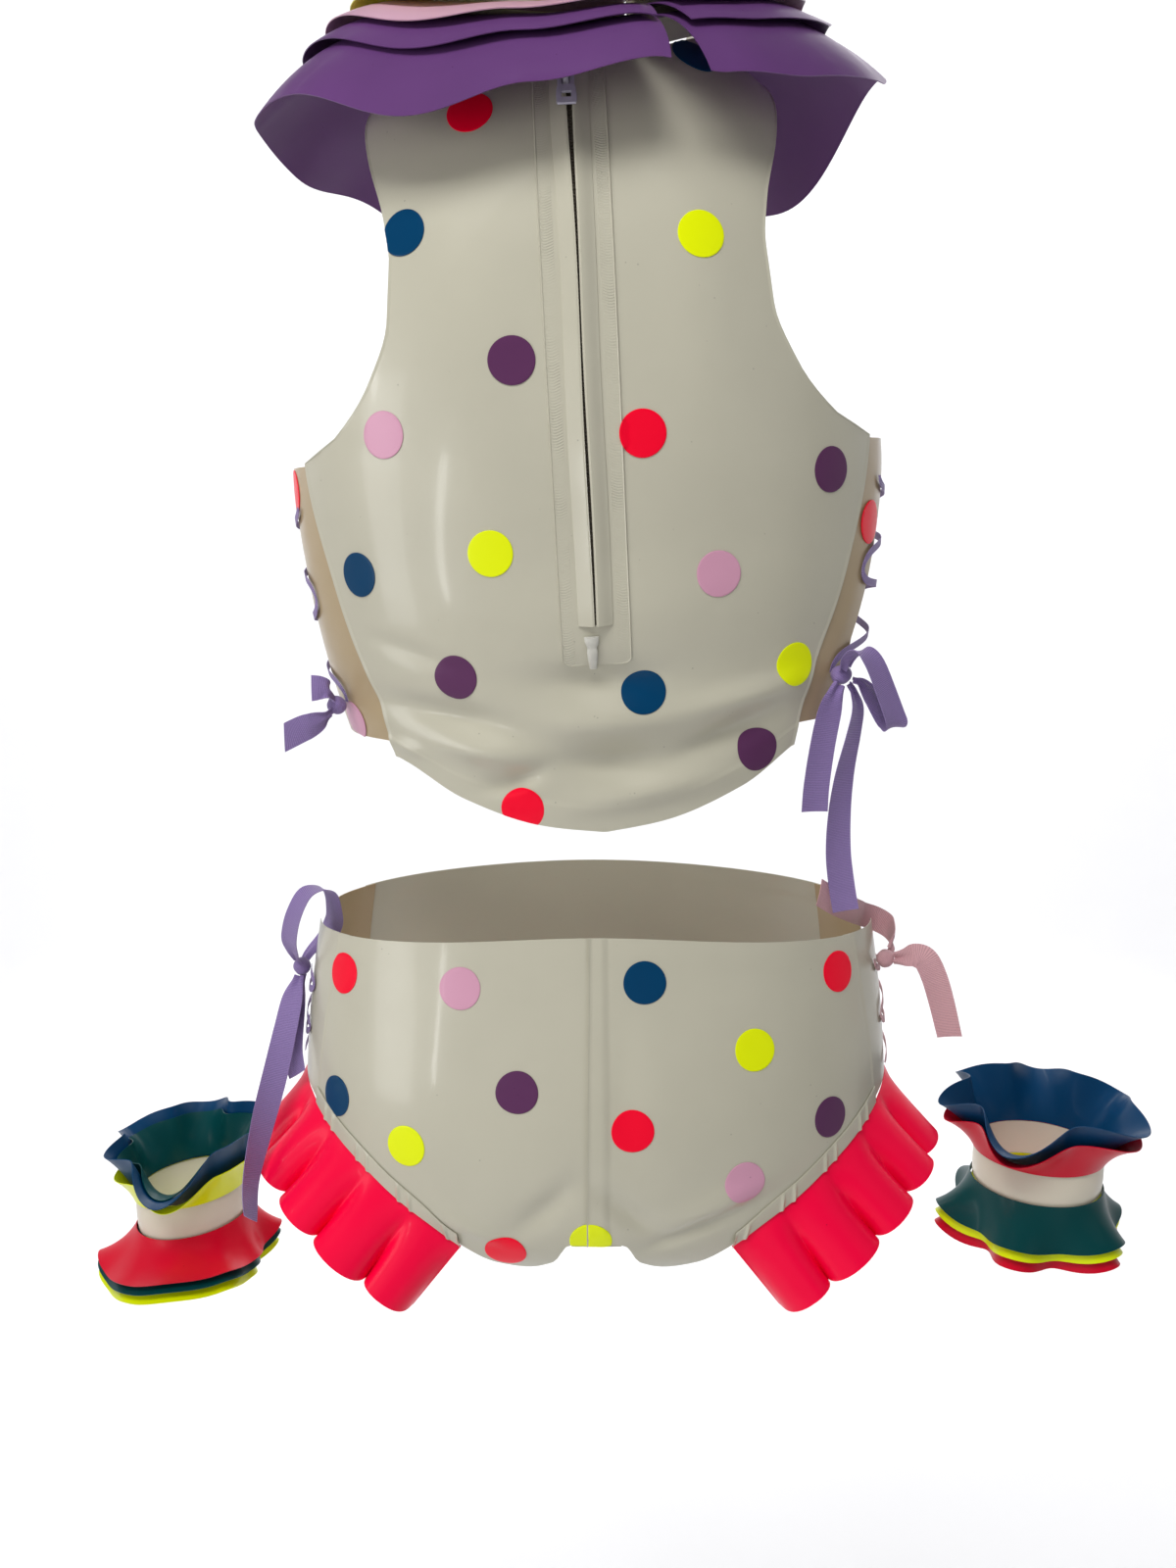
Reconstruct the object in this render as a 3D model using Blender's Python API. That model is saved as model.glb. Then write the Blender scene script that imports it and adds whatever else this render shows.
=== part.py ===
"""Clown costume in latex: crop top with a ruff, laced briefs and two ruffled cuffs.

Metres, +Z up.  The set keeps the hollow form of its wearer, who faces +Y and holds it up.
The origin is the middle of the neck base.  A place on the body is given by `beta`, degrees
round from the middle of the back (0) over the side (90) to the middle of the front (180),
by `side`, -1 towards -X and +1 towards +X, and by `level`, the row of a section table.
"""
import math

import bpy
import numpy as np

# ---- cloth ----------------------------------------------------------------------------
WALL = 0.0012           # panels, bands and strips
FRILL_WALL = 0.0010     # frills and ruff layers
RIBBON_WALL = 0.0010
GAP = 0.0004            # between pieces that lie on each other
SEAM_DEG = 0.15         # half the parting of two panels, degrees round the body
SQUARENESS = 2.3        # power of the rounded body section

# ---- body sections: (side z, back z, front z, half width, back depth, front depth) --------
TOP_ROWS = (
    (-0.400, -0.400, -0.400, 0.126, 0.086, 0.096),
    (-0.340, -0.345, -0.345, 0.135, 0.091, 0.102),
    (-0.285, -0.290, -0.290, 0.148, 0.097, 0.114),
    (-0.230, -0.235, -0.235, 0.156, 0.102, 0.122),
    (-0.178, -0.180, -0.185, 0.158, 0.106, 0.122),
    (-0.120, -0.130, -0.140, 0.150, 0.106, 0.110),
    (-0.062, -0.085, -0.105, 0.134, 0.099, 0.094),
    (-0.012, -0.045, -0.080, 0.110, 0.086, 0.078),
    (0.014, -0.018, -0.062, 0.086, 0.073, 0.067),
    (0.026, 0.000, -0.050, 0.070, 0.062, 0.058),
)
BRIEFS_ROWS = (
    (-0.636, -0.636, -0.634, 0.030, 0.018, 0.012),
    (-0.632, -0.632, -0.629, 0.085, 0.052, 0.030),
    (-0.622, -0.621, -0.616, 0.130, 0.083, 0.048),
    (-0.606, -0.602, -0.596, 0.158, 0.106, 0.066),
    (-0.583, -0.577, -0.571, 0.170, 0.117, 0.080),
    (-0.553, -0.546, -0.543, 0.172, 0.119, 0.090),
    (-0.515, -0.507, -0.507, 0.170, 0.115, 0.095),
    (-0.475, -0.464, -0.466, 0.166, 0.104, 0.094),
    (-0.436, -0.422, -0.430, 0.160, 0.094, 0.090),
)
NECK_LEVEL, WAIST_LEVEL = 9.0, 8.0
LEAN_DEG, LEAN_X, LEAN_Z = 2.9, 0.003, -0.25    # the upper body leans towards -X
BRIEFS_X = 0.0045

FOLD_REACH = -0.2       # the back's folds end where the cosine of beta falls below this
NORMAL_ROUND, NORMAL_UP = 0.2, 0.02     # steps for a normal: degrees round, levels up
# Folds of the back: (side * beta, level, half width in degrees, half height, rise)
TOP_FOLDS = (
    (8.0, 2.05, 52.0, 0.34, 0.0040),
    (-4.0, 1.15, 30.0, 0.30, -0.0030),
    (-40.0, 1.05, 16.0, 0.30, 0.0022),
    (34.0, 1.35, 18.0, 0.28, -0.0020),
    (-26.0, 4.60, 10.0, 1.30, 0.0016),
    (30.0, 4.80, 12.0, 1.40, 0.0016),
)

# ---- cut of the top: (beta, level) ------------------------------------------------------
# (level, beta) of the lacing strips: their seam to the back, their free edge on each side
STRIP_SEAM = {-1: ((1.20, 58.5), (1.80, 60.0), (2.50, 64.0), (3.20, 67.0), (4.05, 70.0)),
              1: ((1.20, 55.0), (1.80, 57.0), (2.50, 62.0), (3.20, 66.0), (4.05, 70.0))}
STRIP_EDGE = {-1: ((1.20, 79.0), (2.40, 82.0), (4.05, 80.0)),
              1: ((1.20, 63.5), (1.80, 66.5), (2.50, 71.5), (3.20, 76.5), (4.05, 81.5))}
FRONT_EDGE, FRONT_SEAM = 96.5, 108.0
STRIP_FOOT = 1.35                     # level of the strips' hem
ARMPIT = 4.05
STRIP_HEM_BETA = 70.0                 # the strips' hem height is read from HEM here
HEM = ((0.0, 0.60), (20.0, 0.68), (42.0, 0.92), (57.0, 1.25), (70.0, 1.42), (90.0, 1.50),
       (110.0, 1.48), (135.0, 1.30), (180.0, 1.20))
ARMHOLE_BACK = ((4.05, 70.0), (4.25, 59.0), (4.70, 50.0), (5.20, 46.0), (5.70, 46.5),
                (6.15, 50.0), (6.70, 60.5), (7.30, 77.0), (7.70, 90.0), (9.00, 90.0))
ARMHOLE_FRONT = ((4.05, 108.0), (4.25, 120.0), (4.70, 129.0), (5.20, 133.0), (5.70, 132.0),
                 (6.15, 128.0), (6.70, 119.0), (7.30, 103.0), (7.70, 90.0), (9.00, 90.0))
BODY_STEPS = (0.0, 0.09, 0.18, 0.27, 0.36, 0.46, 0.56, 0.72, 0.86, 1.0)
YOKE_LEVELS = (4.25, 4.70, 5.20, 5.70, 6.15, 6.70, 7.20, 7.70, 8.30, 9.00)
BACK_COLUMNS = (0.012, 0.085, 0.17, 0.32, 0.48, 0.64, 0.80, 0.92, 1.0)
FRONT_COLUMNS = (0.12, 0.30, 0.48, 0.66, 0.84, 1.0)
ZIP_FOOT_STEP = 6                     # the slit ends at this row of BODY_STEPS
ZIP_COLUMNS = 3                       # the tape reaches this many columns each way

# ---- cut of the briefs: (beta, level) ---------------------------------------------------
STRIP_IN, STRIP_OUT = 70.0, 83.5      # lacing strip, from the back seam to its free edge
LEG_BACK = ((0.0, 3.75), (7.0, 3.75), (12.0, 3.20), (20.0, 2.95), (27.5, 3.10), (33.5, 3.55),
            (40.0, 4.10), (46.0, 4.47), (58.0, 5.12), (73.0, 5.65), (90.0, 5.90))
LEG_FRONT = ((90.0, 5.90), (108.0, 5.50), (120.0, 4.90), (135.0, 4.10), (150.0, 3.30),
             (162.0, 2.70), (180.0, 2.70))
GUSSET_BETA_BACK, GUSSET_BETA_FRONT = 6.5, 162.0
GUSSET_DROP = 0.046                   # how far the gusset's curve is pulled down
GUSSET_WAIST = 0.010                  # how much wider it gets between the legs
GUSSET_PULL_BACK, GUSSET_PULL_FRONT = (0.0, 0.90, -0.45), (0.0, -0.25, -1.0)
GUSSET_SEAM = 0.0014                  # its ends lie this far under the panels' edges
BRIEFS_STEPS = (0.0, 0.085, 0.20, 0.34, 0.48, 0.62, 0.76, 0.89, 1.0)
BACK_SEAM_BETA = -2.5                 # the lapped seam lies a little towards -X
CASING_END = 34.0                     # beta where casing and frill end at the buttock

# ---- briefs frill -----------------------------------------------------------------------
LOBES, LOBE_SAMPLES, FRILL_LENGTH = 5, 9, 0.046
LOBE_HEIGHT, LOBE_SWELL, FRILL_FLARE_DEG = 0.018, 0.0048, 20.0
LOBE_CROWN, LOBE_FLATNESS, LOBE_SINK = 0.45, 0.03, 0.20   # shape of a lobe's rounded top
FRILL_ROOT = 0.0010                   # from the panel's edge to the frill

# ---- ruff -------------------------------------------------------------------------------
RUFF_BAND = 0.028
RUFF_BAND_COLUMNS, RUFF_BAND_PART, RUFF_LAYER_PART = 36, 0.5, 0.6   # parts in degrees
RUFF_GAP_BETA, RUFF_GAP_DEG = 26.0, 4.0          # the open ends, towards +X
# (name, height on the band, length factor, turn of the waves, colour, columns, rows)
RUFF_LAYERS = (
    ("ruff_layer_purple_long", 0.0120, 1.00, 0.0, "purple", 48, 4),
    ("ruff_layer_purple_short", 0.0172, 0.66, 3.0, "purple", 44, 3),
    ("ruff_layer_pink", 0.0222, 0.52, 6.0, "pink", 42, 2),
    ("ruff_layer_yellow", 0.0268, 0.38, 9.0, "yellow", 38, 2),
)
RUFF_SIDE, RUFF_BACK, RUFF_WAVE = 0.102, 0.070, 0.012
RUFF_FRONT_SHARE = 0.8                  # how far the front is shortened like the back
RUFF_BEND_DEG, RUFF_BEND_BACK, RUFF_BEND_FRONT = 45.0, 30.0, 10.0   # droop of a layer's arc
RUFF_WAVE_GROWTH = 1.3
RUFF_ROOT, RUFF_SEAT = 0.0010, 0.0009   # from the band to the layers, from the top to the band
# Waves of the layers' edge: (azimuth, rise from -1 to 1); azimuth 270 is the back
RUFF_WAVES = ((8.0, 0.7), (30.0, -0.9), (52.0, 0.8), (75.0, -0.9), (98.0, 0.8), (121.0, -0.9),
              (143.0, 0.8), (165.0, -0.6), (188.0, -0.4), (210.0, 0.1), (234.0, -0.8),
              (262.0, 0.35), (288.0, 0.9), (304.0, 0.1), (322.0, -0.3), (346.0, -0.4))

# ---- cuffs: (azimuth, flare in degrees from the vertical) --------------------------------
CUFF_BAND, CUFF_STEP, CUFF_SEGMENTS = 0.022, 0.0017, 30
CUFF_STEP_FLARE = 4.0                 # degrees that each outer layer flares more
CUFF_FLARE_START = 0.55               # share of the flare at the root
CUFF_SHARES = (0.0, 0.45, 1.0)        # rings of a frill from its root to its edge
CUFFS = {
    "left": {
        "centre": (-0.2445, 0.000, -0.6215), "half": (0.033, 0.030), "tilt_deg": 7.0,
        "up": ((270.0, 64.0), (236.0, 18.0), (205.0, 28.0), (180.0, 12.0), (150.0, 42.0),
               (120.0, 16.0), (92.0, 44.0), (60.0, 6.0), (34.0, 34.0), (4.0, 48.0),
               (334.0, 18.0), (308.0, 20.0)),
        "down": ((270.0, 58.0), (240.0, 50.0), (214.0, 44.0), (190.0, 54.0), (160.0, 14.0),
                 (130.0, 46.0), (100.0, 14.0), (70.0, 46.0), (42.0, 14.0), (18.0, 36.0),
                 (356.0, 14.0), (330.0, 30.0), (300.0, 50.0)),
        "up_layers": (("yellow", 0.020, 1), ("blue", 0.036, 0), ("green", 0.028, -1)),
        "down_layers": (("red", 0.028, 1), ("green", 0.032, 0), ("yellow", 0.036, -1)),
    },
    "right": {
        "centre": (0.2765, 0.000, -0.5985), "half": (0.038, 0.034), "tilt_deg": -2.0,
        "up": ((236.0, 58.0), (206.0, 18.0), (180.0, 44.0), (152.0, 10.0), (126.0, 44.0),
               (100.0, 14.0), (74.0, 46.0), (46.0, 16.0), (20.0, 40.0), (356.0, 26.0),
               (326.0, 44.0), (278.0, 16.0)),
        "down": ((238.0, 28.0), (208.0, 5.0), (180.0, 44.0), (150.0, 14.0), (120.0, 42.0),
                 (92.0, 14.0), (64.0, 42.0), (36.0, 14.0), (10.0, 36.0), (344.0, 14.0),
                 (312.0, 36.0), (272.0, 5.0)),
        "up_layers": (("red", 0.026, 1), ("blue", 0.036, 0)),
        "down_layers": (("green", 0.028, 1), ("yellow", 0.0325, 0), ("red", 0.038, -1)),
    },
}

# ---- ribbons: route points chosen by hand, and which way the width lies at each end -------
RIBBON_WIDTH, LACE_WIDTH, LACE_LIFT = 0.014, 0.0040, 0.0008
KNOT_HALF = (0.0062, 0.0048, 0.0050)
KNOT_LIFT, KNOT_TURNS, KNOT_RINGS = 0.0070, 12, 6
HOLE_SHARE = 0.45                     # of a strip's width, from its free edge to its holes
LACE_SAMPLES = 10                     # for each crossing
LACE_HOLD = 2.0                       # how long the lace runs along a strip at each hole
# (garment, side, first level, last level with the knot, crossings, share of a crossing that
#  the knot lies beyond its hole, colour)
LACINGS = (
    ("top", -1, 3.64, 1.76, 4, 0.12, "purple"), ("top", 1, 3.67, 1.86, 4, 0.10, "purple"),
    ("briefs", -1, 6.00, 7.24, 4, 0.42, "purple"), ("briefs", 1, 5.95, 7.50, 4, 0.12, "pink"),
)
# Free ends and bow loops: (name, colour, ends tied in a knot, route, width at start, at end)
TAILS = (
    ("top_left_tail_up", "purple", 1, ((-0.1344, -0.0523, -0.3033), (-0.1360, -0.0565, -0.2985),
     (-0.1395, -0.0580, -0.2970), (-0.1445, -0.0585, -0.2970)), (-0.5, 0, 1), (0, 0.2, 1)),
    ("top_left_tail_down", "purple", 1, ((-0.1355, -0.0526, -0.3106), (-0.1390, -0.0565, -0.3138),
     (-0.1450, -0.0590, -0.3165), (-0.1505, -0.0600, -0.3187), (-0.1593, -0.0610, -0.3230)),
     (0.5, 0, 1), (0.4, 0, 1)),
    ("top_right_bow", "purple", 2, ((0.1313, -0.0715, -0.2857), (0.1325, -0.0780, -0.2790),
     (0.1366, -0.0822, -0.2752), (0.1426, -0.0840, -0.2808), (0.1493, -0.0835, -0.2952),
     (0.1562, -0.0800, -0.3118), (0.1545, -0.0735, -0.3138), (0.1474, -0.0705, -0.3014),
     (0.1410, -0.0692, -0.2932), (0.1361, -0.0687, -0.2912)), (0.85, 0.6, 0), (0.85, 0.6, 0)),
    ("top_right_tail_short", "purple", 1, ((0.1287, -0.0712, -0.2933), (0.1262, -0.0740, -0.2980),
     (0.1235, -0.0750, -0.3060), (0.1204, -0.0750, -0.3242), (0.1185, -0.0730, -0.3452),
     (0.1183, -0.0710, -0.3602)), (1, 0.4, 0), (1, 0.1, 0)),
    ("top_right_tail_long", "purple", 1, ((0.1344, -0.0663, -0.2942), (0.1372, -0.0660, -0.2985),
     (0.1392, -0.0668, -0.3070), (0.1374, -0.0670, -0.3204), (0.1339, -0.0660, -0.3414),
     (0.1324, -0.0650, -0.3627), (0.1332, -0.0630, -0.3846), (0.1364, -0.0610, -0.4042),
     (0.1393, -0.0600, -0.4177)), (0.6, 1, 0), (1, -0.1, 0)),
    ("briefs_left_bow", "purple", 2, ((-0.1672, -0.0221, -0.4596), (-0.1688, -0.0275, -0.4530),
     (-0.1680, -0.0350, -0.4420), (-0.1640, -0.0400, -0.4280), (-0.1580, -0.0400, -0.4160),
     (-0.1515, -0.0370, -0.4125), (-0.1460, -0.0310, -0.4160), (-0.1450, -0.0240, -0.4280),
     (-0.1480, -0.0140, -0.4400), (-0.1550, -0.0060, -0.4510), (-0.1625, -0.0065, -0.4585),
     (-0.1650, -0.0130, -0.4619)), (-0.7, 0.7, 0), (-0.7, 0.7, 0)),
    ("briefs_left_tail_long", "purple", 1, ((-0.1667, -0.0226, -0.4686), (-0.1690, -0.0290, -0.4780),
     (-0.1720, -0.0390, -0.4950), (-0.1765, -0.0515, -0.5180), (-0.1815, -0.0670, -0.5420),
     (-0.1850, -0.0810, -0.5650), (-0.1850, -0.0870, -0.5850)), (1, -0.5, 0), (0.25, 1, 0)),
    ("briefs_left_tail_short", "purple", 1, ((-0.1660, -0.0158, -0.4701), (-0.1690, -0.0180, -0.4800),
     (-0.1715, -0.0250, -0.4940), (-0.1700, -0.0350, -0.5080), (-0.1650, -0.0440, -0.5200)),
     (0.3, 1, 0), (1, -0.8, 0)),
    ("briefs_right_tail_up", "pink", 1, ((0.1704, -0.0322, -0.4505), (0.1745, -0.0250, -0.4470),
     (0.1740, -0.0130, -0.4425), (0.1680, -0.0085, -0.4390), (0.1600, -0.0130, -0.4350),
     (0.1550, -0.0260, -0.4300), (0.1480, -0.0380, -0.4245), (0.1370, -0.0500, -0.4170),
     (0.1250, -0.0590, -0.4080)), (0, 0.2, 1), (0.5, 0, 1)),
    ("briefs_right_tail_down", "pink", 1, ((0.1717, -0.0402, -0.4517), (0.1770, -0.0445, -0.4497),
     (0.1815, -0.0480, -0.4475), (0.1865, -0.0510, -0.4490), (0.1910, -0.0535, -0.4580),
     (0.1955, -0.0550, -0.4720), (0.2010, -0.0560, -0.4920)), (0, 0.5, 1), (1, -0.6, 0.4)),
)
TAIL_NECK, TAIL_NECK_RUN = 0.45, 0.009   # share of the width at a knot, and how far it lasts
TAIL_SAMPLES, BOW_SAMPLES = 14, 20

# ---- zip ----------------------------------------------------------------------------------
FLAP_SHARE = 0.34                     # how far of the slit each flap covers
SLIDER_BETA, SLIDER_LEVEL = -1.0, 8.30
SLIDER_LIFT = 0.0004                  # from the flaps to the slider
SLIDER_FLAT = 0.6                     # share of its length between the end rows
SLIDER_SIZE = (0.0088, 0.0105, 0.0030)          # wide, long, thick
ARCH_HALF_WIDTH, ARCH_HALF_LENGTH = 0.0014, 0.0046
ARCH_LEG, ARCH_OPENING, ARCH_TOP = 0.0012, 0.0025, 0.0012
ARCH_SINK = 0.0005                    # how deep the arch's legs stand in the body
PULL_WALL = 0.0013
# Pull tab: heights from the hinge axis down, and the tab's half width there
PULL_ROWS = ((0.0007, 0.0040), (-0.0007, 0.0040), (-0.0062, 0.0040), (-0.0085, 0.0044),
             (-0.0125, 0.0047), (-0.0148, 0.0047), (-0.0175, 0.0045))
PULL_EYE_HALF, PULL_SLOT_HALF = 0.0020, 0.0022
ZIP_END_TOP, ZIP_END_FOOT = 2.44, 2.16
ZIP_END_BETA, ZIP_END_HALF, ZIP_END_THICK = -1.2, (2.0, 1.0), 0.0022    # half widths in degrees

COLOURS = {      # name: (red, green, blue, roughness, metallic)
    "cream": (0.56, 0.54, 0.46, 0.30, 0.0), "tan": (0.40, 0.34, 0.25, 0.35, 0.0),
    "purple": (0.13, 0.06, 0.16, 0.35, 0.0), "pink": (0.52, 0.30, 0.40, 0.40, 0.0),
    "yellow": (0.62, 0.74, 0.01, 0.35, 0.0), "red": (0.95, 0.01, 0.10, 0.30, 0.0),
    "blue": (0.00, 0.05, 0.14, 0.30, 0.0), "green": (0.00, 0.05, 0.06, 0.30, 0.0),
    "ribbon_purple": (0.25, 0.18, 0.36, 0.80, 0.0), "ribbon_pink": (0.50, 0.25, 0.30, 0.80, 0.0),
    "zip_plastic": (0.52, 0.50, 0.55, 0.35, 0.0),
}


# ---- tools ----------------------------------------------------------------------------------
def material(name, colour):
    """The named piece's own Principled material, in a colour of the table."""
    red, green, blue, roughness, metallic = COLOURS[colour]
    made = bpy.data.materials.new(name)
    made.use_nodes = True
    shader = made.node_tree.nodes["Principled BSDF"]
    shader.inputs["Base Color"].default_value = (red, green, blue, 1.0)
    shader.inputs["Roughness"].default_value = roughness
    shader.inputs["Metallic"].default_value = metallic
    return made


def add_object(name, vertices, faces, colour, location=(0.0, 0.0, 0.0)):
    """Mesh object from vertices and faces, smooth, with its own material."""
    mesh = bpy.data.meshes.new(name)
    mesh.from_pydata([tuple(map(float, v)) for v in vertices], [], faces)
    mesh.update()
    mesh.shade_smooth()
    mesh.set_sharp_from_angle(angle=math.radians(40.0))
    mesh.materials.append(material(name, colour))
    made = bpy.data.objects.new(name, mesh)
    made.location = location
    bpy.context.scene.collection.objects.link(made)
    return made


def unit(vectors):
    """Vectors brought to length one along the last axis."""
    return vectors / np.maximum(np.linalg.norm(vectors, axis=-1, keepdims=True), 1e-12)


def grid_normals(points, closed, centre):
    """Normals of a grid of points, turned away from the vertical line through centre."""
    if closed:
        along = np.roll(points, -1, axis=0) - np.roll(points, 1, axis=0)
    else:
        along = np.gradient(points, axis=0)
    across = np.gradient(points, axis=1)
    normals = unit(np.cross(along, across))
    outward = points[..., :2] - np.asarray(centre)[:2]
    return normals if np.sum(normals[..., :2] * outward) > 0.0 else -normals


def thin_wall(name, points, colour, wall=WALL, keep=None, closed=False, centre=(0.0, 0.0),
              normals=None, location=(0.0, 0.0, 0.0)):
    """Closed thin solid whose outer face is the grid of points and whose inner face lies
    `wall` inside it.  `keep` is a mask of the grid's cells; a left-out cell is an opening."""
    columns, rows = points.shape[:2]
    if normals is None:
        normals = grid_normals(points, closed, centre)
    cells = (columns if closed else columns - 1, rows - 1)
    if keep is None:
        keep = np.ones(cells, dtype=bool)
    vertices = np.concatenate([points.reshape(-1, 3), (points - wall * normals).reshape(-1, 3)])
    under = columns * rows
    faces, edges = [], {}
    for i, j in zip(*np.nonzero(keep)):
        k = (i + 1) % columns
        a, b, c, d = i * rows + j, k * rows + j, k * rows + j + 1, i * rows + j + 1
        faces += [(a, b, c), (a, c, d), (a + under, c + under, b + under),
                  (a + under, d + under, c + under)]
        for start, end in ((a, b), (b, c), (c, d), (d, a)):
            if (end, start) in edges:
                del edges[(end, start)]
            else:
                edges[(start, end)] = True
    for start, end in edges:
        faces += [(end, start, start + under), (end, start + under, end + under)]
    used = sorted({int(index) for face in faces for index in face})
    number = {index: place for place, index in enumerate(used)}
    vertices = vertices[used]
    faces = [tuple(number[int(index)] for index in face) for face in faces]
    corners = vertices[np.asarray(faces)]
    volume = np.einsum("ij,ij->i", corners[:, 0], np.cross(corners[:, 1], corners[:, 2])).sum()
    if volume < 0.0:
        faces = [face[::-1] for face in faces]
    return add_object(name, vertices, faces, colour, location)


def smooth_rows(rows, level):
    """Smooth curve through the rows of a table, read at `level`."""
    rows = np.asarray(rows, float)
    level = np.clip(np.asarray(level, float), 0.0, len(rows) - 1.0)
    low = np.minimum(level.astype(int), len(rows) - 2)
    t = (level - low)[..., None]
    slope = np.gradient(rows, axis=0)
    return ((2 * t**3 - 3 * t**2 + 1) * rows[low] + (t**3 - 2 * t**2 + t) * slope[low]
            + (3 * t**2 - 2 * t**3) * rows[low + 1] + (t**3 - t**2) * slope[low + 1])


def round_table(table, azimuth):
    """Cosine curve through (azimuth, value) pairs that close on themselves."""
    places, values = np.array(sorted(table)).T
    places = np.concatenate([[places[-1] - 360.0], places, [places[0] + 360.0]])
    values = np.concatenate([[values[-1]], values, [values[0]]])
    azimuth = np.mod(azimuth, 360.0)
    low = np.clip(np.searchsorted(places, azimuth, side="right") - 1, 0, len(places) - 2)
    t = (azimuth - places[low]) / (places[low + 1] - places[low])
    return values[low] + (values[low + 1] - values[low]) * (1.0 - np.cos(np.pi * t)) / 2.0


def curve_through(points, samples):
    """Smooth curve through hand-chosen points, evenly sampled."""
    fine = smooth_rows(points, np.linspace(0.0, len(points) - 1.0, 40 * len(points)))
    length = np.concatenate([[0.0], np.cumsum(np.linalg.norm(np.diff(fine, axis=0), axis=1))])
    even = np.linspace(0.0, length[-1], samples)
    return np.stack([np.interp(even, length, fine[:, axis]) for axis in range(3)], axis=-1)


# ---- the body's form --------------------------------------------------------------------------
def section_point(rows, azimuth, level):
    """Point of the rounded section at a level: |x/a|^n + |y/b|^n = 1, ends tilted in z."""
    row = smooth_rows(rows, level)
    c, s = np.cos(np.radians(azimuth)), np.sin(np.radians(azimuth))
    depth = np.where(s < 0.0, row[..., 4], row[..., 5])
    reach = (np.abs(c / row[..., 3]) ** SQUARENESS
             + np.abs(s / depth) ** SQUARENESS) ** (-1.0 / SQUARENESS)
    turn = np.abs(s) ** 1.5
    end = np.where(s < 0.0, row[..., 1], row[..., 2])
    return np.stack([reach * c, reach * s, row[..., 0] * (1.0 - turn) + end * turn], axis=-1)


def lean(points):
    """Turn of the upper body about the Y axis at LEAN_Z."""
    c, s = math.cos(math.radians(LEAN_DEG)), math.sin(math.radians(LEAN_DEG))
    x, z = points[..., 0], points[..., 2] - LEAN_Z
    return np.stack([LEAN_X + x * c - z * s, points[..., 1], LEAN_Z + x * s + z * c], axis=-1)


def fold_relief(signed_beta, level):
    """Height of the back's soft folds."""
    relief = np.zeros(np.broadcast(signed_beta, level).shape)
    for place, row, width, height, rise in TOP_FOLDS:
        relief = relief + rise * np.exp(-((signed_beta - place) / width) ** 2
                                        - ((level - row) / height) ** 2)
    return relief


def top_point(signed_beta, level, lift=0.0):
    """Point of the top's outer face at side * beta and level, moved out by lift."""
    azimuth = 270.0 + signed_beta
    flat = section_point(TOP_ROWS, azimuth, level)
    outward = np.stack([np.cos(np.radians(azimuth)), np.sin(np.radians(azimuth)),
                        np.zeros_like(azimuth)], axis=-1)
    near = np.cos(np.radians(signed_beta)) > FOLD_REACH
    relief = np.where(near, fold_relief(signed_beta, level), 0.0) + lift
    return lean(flat + relief[..., None] * outward)


def briefs_point(signed_beta, level):
    """Point of the briefs' outer face at side * beta and level."""
    flat = section_point(BRIEFS_ROWS, 270.0 + signed_beta, level)
    return flat + np.array([BRIEFS_X, 0.0, 0.0])


def form_normal(form, signed_beta, level, top_level):
    """Outward normal of a body form, from small steps round and up."""
    round_ = form(signed_beta + NORMAL_ROUND, level) - form(signed_beta - NORMAL_ROUND, level)
    up = (form(signed_beta, np.minimum(level + NORMAL_UP, top_level))
          - form(signed_beta, np.maximum(level - NORMAL_UP, 0.0)))
    return unit(np.cross(round_, up))


def between(table, x):
    """Straight interpolation in a two-column table."""
    places, values = np.array(table).T
    return np.interp(x, places, values)


# ---- crop top -----------------------------------------------------------------------------------
def by_side(tables, sign, level):
    """Value at a level, read from the table of the side that sign names."""
    return np.where(sign < 0.0, between(tables[-1], level), between(tables[1], level))


def top_grid(columns, armhole, seams, middle):
    """Betas and levels of a top panel: u runs from its middle to its side edge; the body
    rows rise from the hem to the armpit, the yoke rows go on to the neck."""
    u = np.asarray(columns)[:, None]
    sign = np.sign(u)
    foot = by_side(seams, sign, STRIP_FOOT)
    hem_beta = np.abs(middle - np.abs(u) * np.abs(foot - middle))
    hem = between(HEM, hem_beta)
    body = hem + (ARMPIT - hem) * np.asarray(BODY_STEPS)[None, :]
    yoke = np.broadcast_to(np.asarray(YOKE_LEVELS)[None, :], (len(columns), len(YOKE_LEVELS)))
    level = np.concatenate([body, yoke], axis=1)
    edge = np.where(level <= ARMPIT, by_side(seams, sign, level), between(armhole, level))
    edge = edge - np.sign(edge - middle) * SEAM_DEG
    beta = middle + np.abs(u) * (edge - middle)
    return sign * beta, level


def back_columns():
    """Columns of the back from the -X side to the +X side, with the slit in the middle."""
    return tuple(-u for u in reversed(BACK_COLUMNS)) + BACK_COLUMNS


def back_points():
    """Grid of the back panel and its normals."""
    beta, level = top_grid(back_columns(), ARMHOLE_BACK, STRIP_SEAM, 0.0)
    return top_point(beta, level), form_normal(top_point, beta, level, NECK_LEVEL)


def build_back():
    """Back panel with the slit for the zip."""
    points, normals = back_points()
    keep = np.ones((points.shape[0] - 1, points.shape[1] - 1), dtype=bool)
    keep[len(BACK_COLUMNS) - 1, ZIP_FOOT_STEP:] = False
    thin_wall("top_back", points, "cream", keep=keep, normals=normals)


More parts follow.
